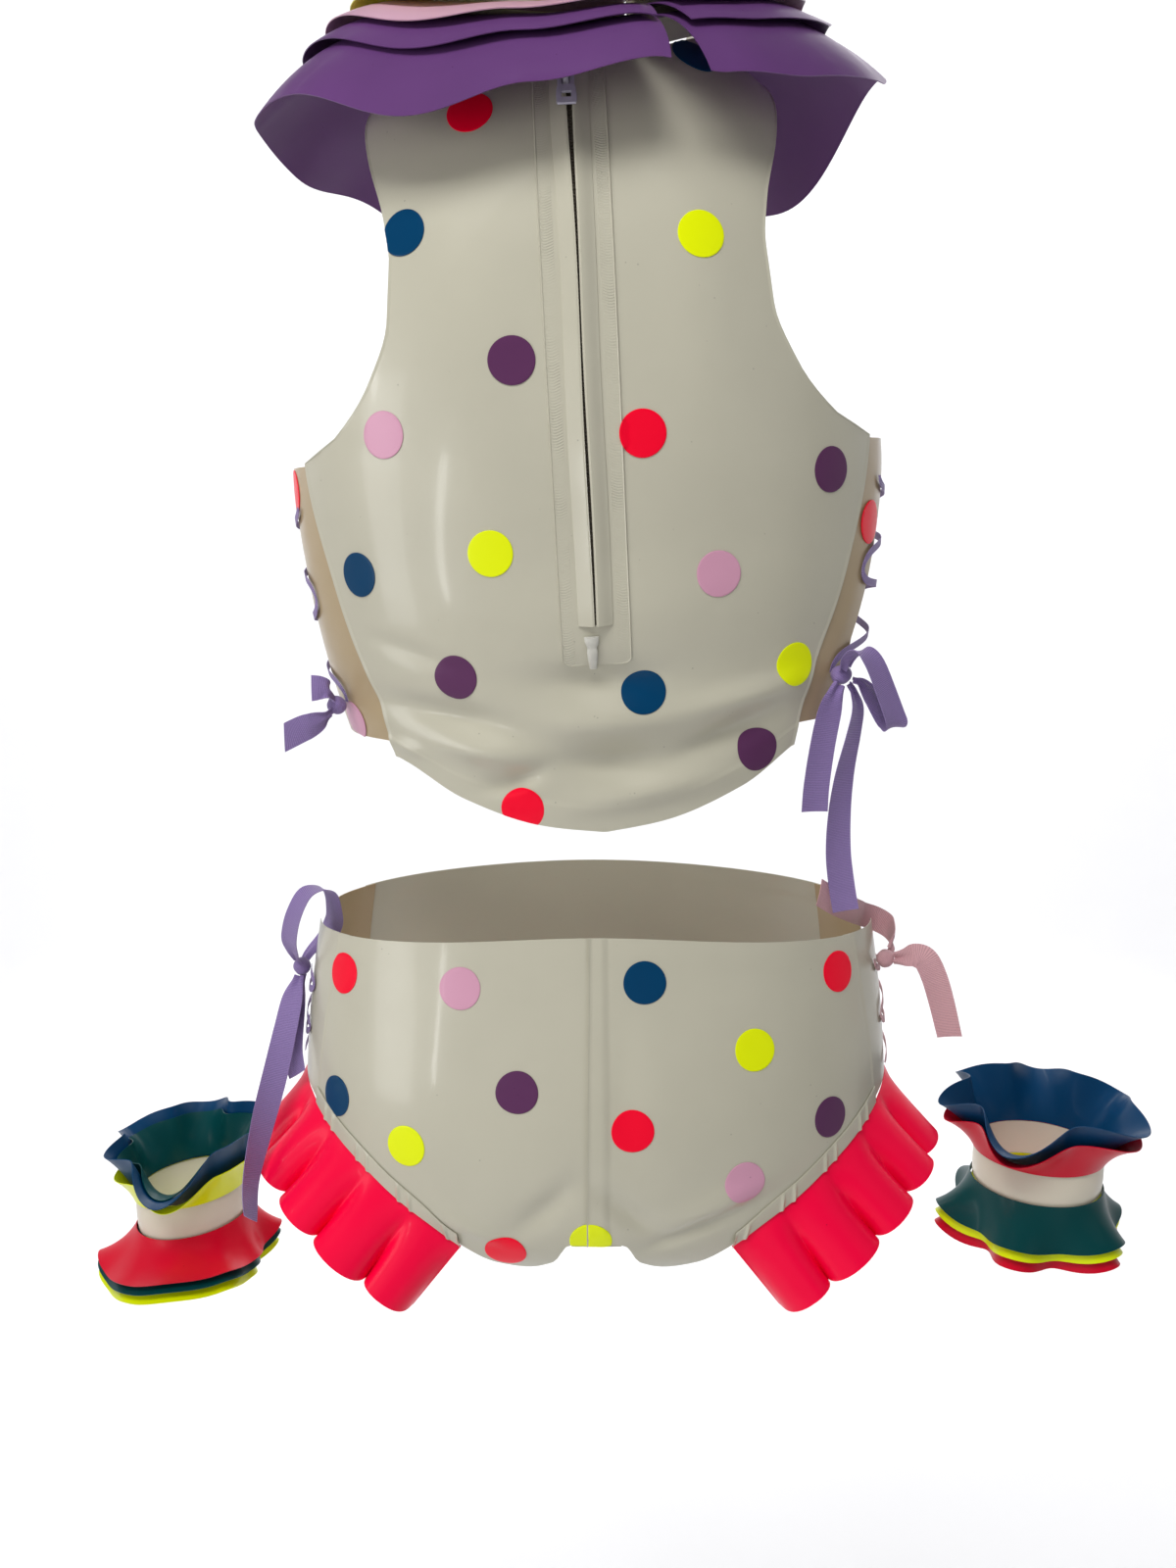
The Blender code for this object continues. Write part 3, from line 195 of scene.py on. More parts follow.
# ---- meshes
@dataclass
class MeshParts:
    """Vertices, faces and corner UVs gathered for one mesh."""

    vertices: list[Array] = field(default_factory=list)
    faces: list[list[int]] = field(default_factory=list)
    corner_uvs: list[Array] = field(default_factory=list)
    count: int = 0

    def add(self, vertices: Array, *blocks: tuple[Array, Array]) -> None:
        """Adds vertices and the faces on them.

        Args:
            vertices: places, one row each.
            blocks: faces of one size, as vertex numbers from this call's start, one row a
                face, with a UV pair for each corner of each face.
        """
        for faces, corner_uvs in blocks:
            self.faces += (faces + self.count).tolist()
            self.corner_uvs.append(corner_uvs.reshape(-1, 2))
        self.vertices.append(vertices.reshape(-1, 3))
        self.count += len(self.vertices[-1])

    def build(self, name: str, sharp_deg: float = 40.0) -> Piece:
        """Makes the mesh object.

        Args:
            name: the piece's name.
            sharp_deg: edges bent more than this stay sharp.

        Returns:
            The object, at the origin and smooth.
        """
        mesh = bpy.data.meshes.new(name)
        mesh.from_pydata(np.concatenate(self.vertices).tolist(), [], self.faces)
        layer = mesh.uv_layers.new(name="UVMap")
        layer.data.foreach_set("uv", np.concatenate(self.corner_uvs).astype(np.float32).ravel())
        mesh.update()
        mesh.shade_smooth()
        mesh.set_sharp_from_angle(angle=math.radians(sharp_deg))
        made = bpy.data.objects.new(name, mesh)
        bpy.context.scene.collection.objects.link(made)
        return made


def surface_lengths(points: Array) -> Array:
    """UV of a grid in metres: length along each row from its middle, and down each column."""
    u = lengths_along(points)
    return np.stack([u - u[len(points) // 2], lengths_along(points, axis=1)], axis=-1)


def add_shell(parts: MeshParts, outer: Array, normals: Array, wall: float,
              keep: Array | None = None, closed: bool = False, uv: Array | None = None) -> None:
    """Adds a thin closed wall: the outer grid, its copy moved in, and rims round every edge.

    Args:
        parts: where the faces go.
        outer: grid of points, columns by rows.
        normals: outward normals of the grid.
        wall: thickness, measured inwards.
        keep: mask of cells; a left-out cell is an opening.
        closed: the last column joins the first.
        uv: UV of the grid; lengths in metres when left out.
    """
    columns, rows = outer.shape[:2]
    cells = (columns if closed else columns - 1, rows - 1)
    keep = np.ones(cells, dtype=bool) if keep is None else keep
    normals = np.broadcast_to(normals, outer.shape)
    if uv is None:
        uv = surface_lengths(np.concatenate([outer, outer[:1]]) if closed else outer)
    i, j = np.nonzero(keep)
    k = (i + 1) % columns
    corners = np.stack([i * rows + j, k * rows + j, k * rows + j + 1, i * rows + j + 1], axis=-1)
    corner_uv = np.stack([uv[i, j], uv[i + 1, j], uv[i + 1, j + 1], uv[i, j + 1]], axis=1)
    flat = outer.reshape(-1, 3)
    turn = np.cross(flat[corners[:, 1]] - flat[corners[:, 0]],
                    flat[corners[:, 3]] - flat[corners[:, 0]])
    facing = np.sum(turn * normals.reshape(-1, 3)[corners[:, 0]]) > 0.0
    around = np.zeros((cells[0] + 2, cells[1] + 2), dtype=bool)
    around[1:-1, 1:-1] = keep
    if closed:
        around[0, 1:-1], around[-1, 1:-1] = keep[-1], keep[0]
    inner = corners[:, ::-1] + columns * rows
    faces, uvs = [corners, inner], [corner_uv, corner_uv[:, ::-1]]
    for side, (di, dj) in enumerate(((0, -1), (1, 0), (0, 1), (-1, 0))):
        open_ = ~around[i + 1 + di, j + 1 + dj]
        a, b = corners[open_, side], corners[open_, (side + 1) % 4]
        uv_a, uv_b = corner_uv[open_, side], corner_uv[open_, (side + 1) % 4]
        faces.append(np.stack([b, a, a + columns * rows, b + columns * rows], axis=-1))
        uvs.append(np.stack([uv_b, uv_a, uv_a, uv_b], axis=1))
    quads, quad_uvs = np.concatenate(faces), np.concatenate(uvs)
    if not facing:
        quads, quad_uvs = quads[:, ::-1], quad_uvs[:, ::-1]
    used, quads = np.unique(quads, return_inverse=True)
    vertices = np.concatenate([flat, (outer - wall * normals).reshape(-1, 3)])[used]
    parts.add(vertices, (quads.reshape(-1, 4), quad_uvs))


def add_rings(parts: MeshParts, rings: Array, first: Array | None = None,
              last: Array | None = None, uv: Array | None = None) -> None:
    """Adds a closed skin over rings of points, with a pole at each end.

    Args:
        parts: where the faces go.
        rings: points, rings by places round.
        first: pole before the first ring; the ring's middle when left out.
        last: pole after the last ring, in the same way.
        uv: UV of the rings, with one more place round; the ring's share and the place's
            share when left out.
    """
    count, around = rings.shape[:2]
    first = rings[0].mean(axis=0) if first is None else first
    last = rings[-1].mean(axis=0) if last is None else last
    if uv is None:
        uv = np.stack(np.meshgrid(np.linspace(0, 1, count), np.linspace(0, 1, around + 1),
                                  indexing="ij"), axis=-1)
    i, j = np.indices((count - 1, around)).reshape(2, -1)
    here, beside = i * around + j, i * around + (j + 1) % around
    quads = np.stack([here, beside, beside + around, here + around], axis=-1)
    quad_uv = np.stack([uv[i, j], uv[i, j + 1], uv[i + 1, j + 1], uv[i + 1, j]], axis=1)
    m = np.arange(around)
    n, base, end = (m + 1) % around, (count - 1) * around, count * around
    caps = np.concatenate([np.stack([np.full(around, end), n, m], axis=-1),
                           np.stack([np.full(around, end + 1), base + m, base + n], axis=-1)])
    cap_uv = np.concatenate([np.stack([uv[0, m], uv[0, m + 1], uv[0, m]], axis=1),
                             np.stack([uv[-1, m], uv[-1, m], uv[-1, m + 1]], axis=1)])
    vertices = np.concatenate([rings.reshape(-1, 3), first[None], last[None]])
    volume = np.einsum("ij,ij->", vertices[quads[:, 0]] - first,
                       np.cross(vertices[quads[:, 1]] - first, vertices[quads[:, 2]] - first))
    if volume < 0.0:
        quads, quad_uv = quads[:, ::-1], quad_uv[:, ::-1]
        caps, cap_uv = caps[:, ::-1], cap_uv[:, ::-1]
    parts.add(vertices, (quads, quad_uv), (caps, cap_uv))


def grid_normals(points: Array, outward: Array, closed: bool = False) -> Array:
    """Normals of a grid of points, turned to agree with the outward directions given."""
    along = (np.roll(points, -1, axis=0) - np.roll(points, 1, axis=0) if closed
             else np.gradient(points, axis=0))
    normals = unit(np.cross(along, np.gradient(points, axis=1)))
    return -normals if np.sum(normals * outward) < 0.0 else normals


def half_area(piece: Piece) -> float:
    """Area of one side of a thin piece, in square metres."""
    areas = np.zeros(len(piece.data.polygons))
    piece.data.polygons.foreach_get("area", areas)
    return float(areas.sum()) / 2.0


# ---- shader nodes
class Wiring:
    """Places shader nodes in one tree and wires them."""

    def __init__(self, tree: bpy.types.NodeTree) -> None:
        """Keeps the tree that the nodes go to."""
        self.tree = tree

    def add(self, kind: str, inputs: dict | None = None, **settings: object) -> bpy.types.Node:
        """Places a node.

        Args:
            kind: Blender's name of the node type.
            inputs: value or socket to wire, by the input's name or number.
            settings: properties of the node.

        Returns:
            The node.
        """
        node = self.tree.nodes.new(kind)
        for name, value in settings.items():
            setattr(node, name, value)
        self.feed(node, inputs or {})
        return node

    def feed(self, node: bpy.types.Node, inputs: dict) -> None:
        """Wires sockets to a node's inputs and sets the other inputs to values."""
        for name, value in inputs.items():
            if isinstance(value, Socket):
                self.tree.links.new(value, node.inputs[name])
            else:
                node.inputs[name].default_value = value

    def cloth_uv(self) -> tuple[Socket, bpy.types.NodeOutputs]:
        """UV in metres, and its parts: X across the cloth and Y along it."""
        uv = self.add("ShaderNodeTexCoord").outputs["UV"]
        return uv, self.add("ShaderNodeSeparateXYZ", {"Vector": uv}).outputs

    def noise(self, vector: Socket, scale: float, detail: float,
              distortion: float = 0.0) -> Socket:
        """Strength of a Noise texture."""
        return self.add("ShaderNodeTexNoise", {"Vector": vector, "Scale": scale, "Detail": detail,
                                               "Distortion": distortion}).outputs["Fac"]

    def toned(self, colour: object, value: object) -> Socket:
        """Colour made lighter or darker by a factor."""
        return self.add("ShaderNodeHueSaturation", {"Color": colour, "Value": value}).outputs["Color"]

    def bump(self, height: object, **more: object) -> Socket:
        """Normal of a surface raised by a height in metres."""
        return self.add("ShaderNodeBump", {"Height": height, "Distance": 1.0} | more).outputs["Normal"]

    def ribs(self, along: object, pitch: object) -> Socket:
        """Even ribs, from 0 to 1, one a pitch."""
        turns = self.maths("MULTIPLY", self.maths("DIVIDE", along, pitch), 2.0 * math.pi)
        return self.spread(self.maths("SINE", turns), -1.0, 1.0, 0.0, 1.0)

    def maths(self, operation: str, a: object, b: object = 0.0) -> Socket:
        """Result of one Math node on two values or sockets."""
        return self.add("ShaderNodeMath", {0: a, 1: b}, operation=operation).outputs[0]

    def spread(self, value: object, low: float, high: float, start: float,
               end: float) -> Socket:
        """Value mapped from low..high to start..end and held there."""
        return self.add("ShaderNodeMapRange", {"Value": value, "From Min": low, "From Max": high,
                                               "To Min": start, "To Max": end}).outputs[0]


def make_group(name: str, inputs: dict[str, object],
               outputs: dict[str, str]) -> tuple[bpy.types.NodeTree, Wiring, dict]:
    """Starts a shader node group.

    Args:
        name: the group's name.
        inputs: default value by input name; four numbers make a colour.
        outputs: socket type by output name.

    Returns:
        The group, its wiring, and its input sockets by name.
    """
    group = bpy.data.node_groups.new(name, "ShaderNodeTree")
    for label, default in inputs.items():
        kind = "NodeSocketColor" if isinstance(default, tuple) else "NodeSocketFloat"
        socket = group.interface.new_socket(label, in_out="INPUT", socket_type=kind)
        socket.default_value = default
    for label, kind in outputs.items():
        group.interface.new_socket(label, in_out="OUTPUT", socket_type=kind)
    wiring = Wiring(group)
    entry = wiring.add("NodeGroupInput")
    return group, wiring, {label: entry.outputs[label] for label in inputs}


SKIN_OUTPUTS = {"Colour": "NodeSocketColor", "Roughness": "NodeSocketFloat",
                "Normal": "NodeSocketVector"}


@functools.cache
def latex_skin() -> bpy.types.NodeTree:
    """Group for latex sheet: cloudy colour, dull rubbed patches, dust, slight ripple."""
    group, wiring, given = make_group(
        "latex skin", {"Colour": (0.8, 0.8, 0.7, 1.0), "Cloud": 0.06, "Gloss": 0.25,
                       "Rubbed": 0.12, "Ripple": 0.0004, "Dust": 0.3}, SKIN_OUTPUTS)
    maths, spread = wiring.maths, wiring.spread
    place = wiring.add("ShaderNodeTexCoord").outputs["Object"]
    shade = spread(wiring.noise(place, 14.0, 3.0), 0.3, 0.7, 1.0, -1.0)
    value = maths("ADD", 1.0, maths("MULTIPLY", shade, given["Cloud"]))
    specks = wiring.add("ShaderNodeTexVoronoi", {"Vector": place, "Scale": 170.0})
    near = spread(specks.outputs["Distance"], 0.05, 0.09, 1.0, 0.0)
    lone = spread(wiring.noise(place, 60.0, 1.0), 0.60, 0.66, 0.0, 1.0)
    dust = maths("MULTIPLY", maths("MULTIPLY", near, lone), given["Dust"])
    value = maths("MULTIPLY", value, maths("SUBTRACT", 1.0, dust))
    patches = spread(wiring.noise(place, 22.0, 4.0, 0.6), 0.45, 0.7, 0.0, 1.0)
    rough = maths("ADD", given["Gloss"], maths("MULTIPLY", patches, given["Rubbed"]))
    height = maths("ADD", maths("MULTIPLY", wiring.noise(place, 26.0, 2.0), given["Ripple"]),
                   maths("MULTIPLY", wiring.noise(place, 700.0, 2.0), 0.00001))
    wiring.add("NodeGroupOutput", {
        "Colour": wiring.toned(given["Colour"], value),
        "Roughness": maths("ADD", rough, maths("MULTIPLY", dust, 0.4)),
        "Normal": wiring.bump(height)})
    return group


@functools.cache
def ribbed_band() -> bpy.types.NodeTree:
    """Group for a woven band that shows through the sheet: slanted ribs between two distances
    from the middle line, faint where the sheet stands off the weave."""
    group, wiring, given = make_group(
        "ribbed band", {"Inner": 0.0106, "Outer": 0.0160, "Pitch": 0.0013, "Depth": 0.00022},
        {"Height": "NodeSocketFloat"})
    maths = wiring.maths
    uv, parted = wiring.cloth_uv()
    far = maths("ABSOLUTE", parted["X"])
    slanted = maths("ADD", parted["Y"], maths("MULTIPLY", far, 0.5))
    inside = maths("MULTIPLY", maths("GREATER_THAN", far, given["Inner"]),
                   maths("LESS_THAN", far, given["Outer"]))
    shown = wiring.spread(wiring.noise(uv, 34.0, 1.0), 0.42, 0.62, 0.15, 1.0)
    depth = maths("MULTIPLY", maths("MULTIPLY", inside, shown), given["Depth"])
    wiring.add("NodeGroupOutput", {
        "Height": maths("MULTIPLY", depth, wiring.ribs(slanted, given["Pitch"]))})
    return group


@functools.cache
def grosgrain_weave() -> bpy.types.NodeTree:
    """Group for ribbed ribbon: ribs across the ribbon, thread noise, and painted shade that darkens the
    grooves between the ribs.
    """
    group, wiring, given = make_group(
        "grosgrain weave", {"Colour": (0.3, 0.2, 0.4, 1.0), "Pitch": 0.0009, "Depth": 0.00016},
        {"Colour": "NodeSocketColor", "Normal": "NodeSocketVector"})
    uv, parted = wiring.cloth_uv()
    ribs = wiring.ribs(parted["Y"], given["Pitch"])
    # Painted shade: the colour darkens to 0.72 in the grooves between the ribs; the thread noise is
    # random tone.
    value = wiring.maths("ADD", wiring.spread(ribs, 0.0, 0.6, 0.72, 1.04), wiring.spread(
        wiring.noise(uv, 1500.0, 2.0), 0.3, 0.7, -0.07, 0.07))
    wiring.add("NodeGroupOutput", {"Colour": wiring.toned(given["Colour"], value),
        "Normal": wiring.bump(wiring.maths("MULTIPLY", ribs, given["Depth"]))})
    return group


@functools.cache
def moulded_skin() -> bpy.types.NodeTree:
    """Group for moulded plastic: faint cloud and the fine grain of the mould."""
    group, wiring, given = make_group(
        "moulded skin", {"Colour": (0.6, 0.6, 0.6, 1.0), "Gloss": 0.3}, SKIN_OUTPUTS)
    place = wiring.add("ShaderNodeTexCoord").outputs["Object"]
    cloud = wiring.noise(place, 300.0, 3.0)
    grain = wiring.maths("MULTIPLY", wiring.noise(place, 2500.0, 1.0), 0.00002)
    wiring.add("NodeGroupOutput", {
        "Colour": wiring.toned(given["Colour"], wiring.spread(cloud, 0.3, 0.7, 0.93, 1.05)),
        "Roughness": wiring.maths("ADD", given["Gloss"], wiring.spread(cloud, 0.3, 0.7, 0.0, 0.12)),
        "Normal": wiring.bump(grain)})
    return group


# ---- finishes
@dataclass(frozen=True)
class Finish:
    """Finish of a piece.

    Attributes:
        name: the finish's name.
        slot: the record's material slot.
        colour: colour for the shader.
    """

    name: str
    slot: str
    colour: tuple[float, float, float, float]

    def material(self) -> bpy.types.Material:
        """Returns the finish's material, built on first use."""
        made = bpy.data.materials.get(self.name)
        if made is None:
            made = bpy.data.materials.new(self.name)
            made.use_nodes = True
            wiring = Wiring(made.node_tree)
            wiring.feed(made.node_tree.nodes["Principled BSDF"], self.sockets(wiring))
        return made

    def sockets(self, wiring: Wiring) -> dict[str, object]:
        """Values and wires for the shader's inputs, by name."""
        raise NotImplementedError


@dataclass(frozen=True)
class LatexFinish(Finish):
    """Dyed latex sheet.

    Attributes:
        gloss: roughness where it is polished.
        rubbed: roughness added in dull patches.
        cloud: how far the colour clouds.
        ripple: depth of the sheet's slight ripple, in metres.
        coat: weight of the silicone polish on top.
        bleed: weight of light that goes through the sheet's body.
        painted_glow: strength of emission in the sheet's own colour, painted light that stands for the
            brightness of a fluorescent dye.
        shine: strength of the sheet's own reflection.
        banded: the woven tape underneath shows through.
    """

    gloss: float = 0.30
    rubbed: float = 0.10
    cloud: float = 0.05
    ripple: float = 0.0005
    coat: float = 0.25
    bleed: float = 0.0
    painted_glow: float = 0.0
    shine: float = 0.5
    banded: bool = False

    def sockets(self, wiring: Wiring) -> dict[str, object]:
        """Values and wires for the shader's inputs, by name."""
        skin = wiring.add("ShaderNodeGroup", {
            "Colour": self.colour, "Cloud": self.cloud, "Gloss": self.gloss,
            "Rubbed": self.rubbed, "Ripple": self.ripple}, node_tree=latex_skin()).outputs
        normal = skin["Normal"]
        if self.banded:
            band = wiring.add("ShaderNodeGroup", node_tree=ribbed_band()).outputs
            normal = wiring.bump(band["Height"], Normal=normal)
        return {"Base Color": skin["Colour"], "Roughness": skin["Roughness"], "Normal": normal,
                "Specular IOR Level": self.shine, "IOR": 1.52,
                "Coat Weight": self.coat, "Coat Roughness": 0.09,
                # Emission in the sheet's own colour is painted light: the fluorescent latex shines by
                # itself, brighter than its lamps light it.
                "Emission Color": skin["Colour"], "Emission Strength": self.painted_glow,
                "Subsurface Weight": self.bleed, "Subsurface Radius": (0.006, 0.005, 0.004)}


@dataclass(frozen=True)
class RibbonFinish(Finish):
    """Ribbed polyester ribbon."""

    def sockets(self, wiring: Wiring) -> dict[str, object]:
        """Values and wires for the shader's inputs, by name."""
        weave = wiring.add("ShaderNodeGroup", {"Colour": self.colour},
                           node_tree=grosgrain_weave()).outputs
        return {"Base Color": weave["Colour"], "Normal": weave["Normal"], "Roughness": 0.62,
                "Sheen Weight": 0.15, "Sheen Roughness": 0.4}


@dataclass(frozen=True)
class PlasticFinish(Finish):
    """Moulded plastic of the zip's fittings, with its roughness and how far light enters it."""

    gloss: float = 0.28
    clear: float = 0.0

    def sockets(self, wiring: Wiring) -> dict[str, object]:
        """Values and wires for the shader's inputs, by name."""
        skin = wiring.add("ShaderNodeGroup", {"Colour": self.colour, "Gloss": self.gloss},
                          node_tree=moulded_skin()).outputs
        return {"Base Color": skin["Colour"], "Roughness": skin["Roughness"],
                "Normal": skin["Normal"], "Coat Weight": 0.2, "Subsurface Weight": self.clear,
                "Subsurface Radius": (0.002, 0.002, 0.002)}


FRILL = {"gloss": 0.38, "coat": 0.06, "shine": 0.25}       # strong colours of the cuffs
# Fluorescent dots: real dye, with emission in their own colour added as painted light.
DAYGLOW_PAINTED_GLOW = {"cloud": 0.02, "coat": 0.05, "painted_glow": 0.04}      # fluorescent dots


class Latex(Enum):
    """Latex finishes of the set."""

    CREAM = LatexFinish("cream latex", "latex_cream", linear(192, 188, 169), cloud=0.03)
    FACING = LatexFinish("cream latex over tape", "latex_cream", linear(192, 188, 169), cloud=0.03,
                         banded=True)
    # The cuff band's cream is painted lighter than the same cream latex elsewhere: painted light on the
    # band.
    CUFF_CREAM_PAINTED_LIGHT = LatexFinish("cuff cream latex painted lighter", "latex_cream", linear(222, 214, 194), coat=0.1)
    TAN = LatexFinish("tan latex", "latex_tan", linear(178, 157, 122))
    RUFF_PURPLE = LatexFinish("ruff purple latex", "latex_purple", linear(98, 60, 114), gloss=0.42,
                              coat=0.06, bleed=0.05, cloud=0.07, shine=0.3)
    RUFF_PINK = LatexFinish("ruff pink latex", "latex_pink", linear(204, 160, 180), gloss=0.38,
                            coat=0.1, bleed=0.10)
    RUFF_YELLOW = LatexFinish("ruff yellow latex", "latex_yellow", linear(226, 230, 20))
    # The fluorescent red frill emits a little of its own colour: painted light.
    FRILL_RED = LatexFinish("fluorescent red latex", "latex_frill_red", linear(248, 0, 62),
                            gloss=0.34, coat=0.08, cloud=0.02, painted_glow=0.02, shine=0.18)
    CUFF_RED = LatexFinish("cuff red latex", "latex_red", linear(208, 0, 40), **FRILL)
    BLUE = LatexFinish("dark blue latex", "latex_blue", linear(0, 58, 98), **FRILL)
    GREEN = LatexFinish("teal green latex", "latex_green", linear(0, 64, 66), **FRILL)
    # Lemon latex, red dots and yellow dots also emit their own colour: painted light.
    YELLOW = LatexFinish("lemon latex", "latex_yellow", linear(222, 234, 0), painted_glow=0.05, shine=0.3)
    DOT_RED = LatexFinish("red dot latex", "latex_red", linear(246, 0, 44), **DAYGLOW_PAINTED_GLOW, shine=0.2)
    DOT_BLUE = LatexFinish("blue dot latex", "latex_blue", linear(0, 60, 98), coat=0.05, shine=0.2)
    DOT_YELLOW = LatexFinish("yellow dot latex", "latex_yellow", linear(228, 240, 0), **DAYGLOW_PAINTED_GLOW,
                             shine=0.25)
    DOT_PURPLE = LatexFinish("purple dot latex", "latex_purple", linear(92, 50, 88), coat=0.05, shine=0.2)
    DOT_PINK = LatexFinish("pink dot latex", "latex_pink", linear(210, 154, 178), coat=0.05, shine=0.3)


class Ribbon(Enum):
    """Ribbon finishes of the set."""

    PURPLE = RibbonFinish("purple ribbon", "ribbon_purple", linear(142, 120, 174))
    PINK = RibbonFinish("pink ribbon", "ribbon_pink", linear(210, 162, 168))


class Fitting(Enum):
    """Finishes of the zip's own parts."""

    PULL = PlasticFinish("pull plastic", "pull_plastic", linear(196, 192, 208))
    BODY = PlasticFinish("slider plastic", "zip_plastic", linear(186, 182, 194))
    # The coil is darker than its plastic so that the slit reads as shade: painted shade.
    COIL_PAINTED_SHADE = PlasticFinish("coil plastic darkened as slit shade", "zip_plastic", linear(104, 96, 84), gloss=0.5)
    END = PlasticFinish("end piece plastic", "zip_plastic", linear(208, 206, 196), clear=0.3)
    # The tape is a darker, warmer brown than its cream so that it matches the shade seen down the slit:
    # painted shade.
    TAPE = RibbonFinish("zip tape weave darkened as slit shade", "latex_cream", linear(132, 122, 104))


def dress(piece: Piece, finish: Latex | Ribbon | Fitting, *nodes: str,
          body: Body = Body.GARMENT) -> Piece:
    """Gives a piece its finish and its place in the frame.

    Args:
        piece: the mesh object.
        finish: its finish.
        nodes: CAD nodes that it stands for.
        body: the body that it moves with.

    Returns:
        The same piece.
    """
    piece.data.materials.append(finish.value.material())
    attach(piece, body.value)
    if nodes:
        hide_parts(*nodes)
    return piece


def declare_cut(piece: Piece, grid: Array, held: Hold, closed: bool = False,
                trims: tuple[Piece, ...] = ()) -> None:
    """Measures a sheet's flat cut, its longest row, its longest column and its area, and keeps none of
    it.

    Args:
        piece: the mesh object.
        grid: points of its outer face, columns by rows.
        held: not used.
        closed: the last column joins the first.
        trims: strips on it that are too narrow to be sheets of their own.
    """
    grid = np.concatenate([grid, grid[:1]]) if closed else grid
    wide = float(lengths_along(grid)[-1].max())
    tall = float(lengths_along(grid, axis=1)[:, -1].max())
    min(half_area(piece), wide * tall)
    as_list(trims)


def make_sheet(name: str, finish: Latex | Ribbon | Fitting, points: Array, normals: Array,
               *nodes: str, wall: float = LATEX, held: Hold | None = Hold.STRETCHED,
               closed: bool = False, keep: Array | None = None, uv: Array | None = None,
               trims: tuple[Piece, ...] = (), sharp_deg: float = 40.0) -> Piece:
    """Makes a thin piece from its outer face and dresses it.

    Args:
        name: the piece's name.
        finish: its finish.
        points: points of its outer face, columns by rows.
        normals: outward normals of the points.
        nodes: CAD nodes that it stands for.
        wall: its thickness.
        held: how the sheet is held; none for a strip too narrow to be a sheet.
        closed: the last column joins the first.
        keep: mask of cells; a left-out cell is an opening.
        uv: UV of the grid; lengths in metres when left out.
        trims: strips on it that are too narrow to be sheets of their own.
        sharp_deg: edges bent more than this stay sharp.

    Returns:
        The piece.
    """
    parts = MeshParts()
    add_shell(parts, points, normals, wall, keep=keep, closed=closed, uv=uv)
    piece = dress(parts.build(name, sharp_deg), finish, *nodes)
    if held is not None:
        declare_cut(piece, points, held, closed, trims)
    return piece


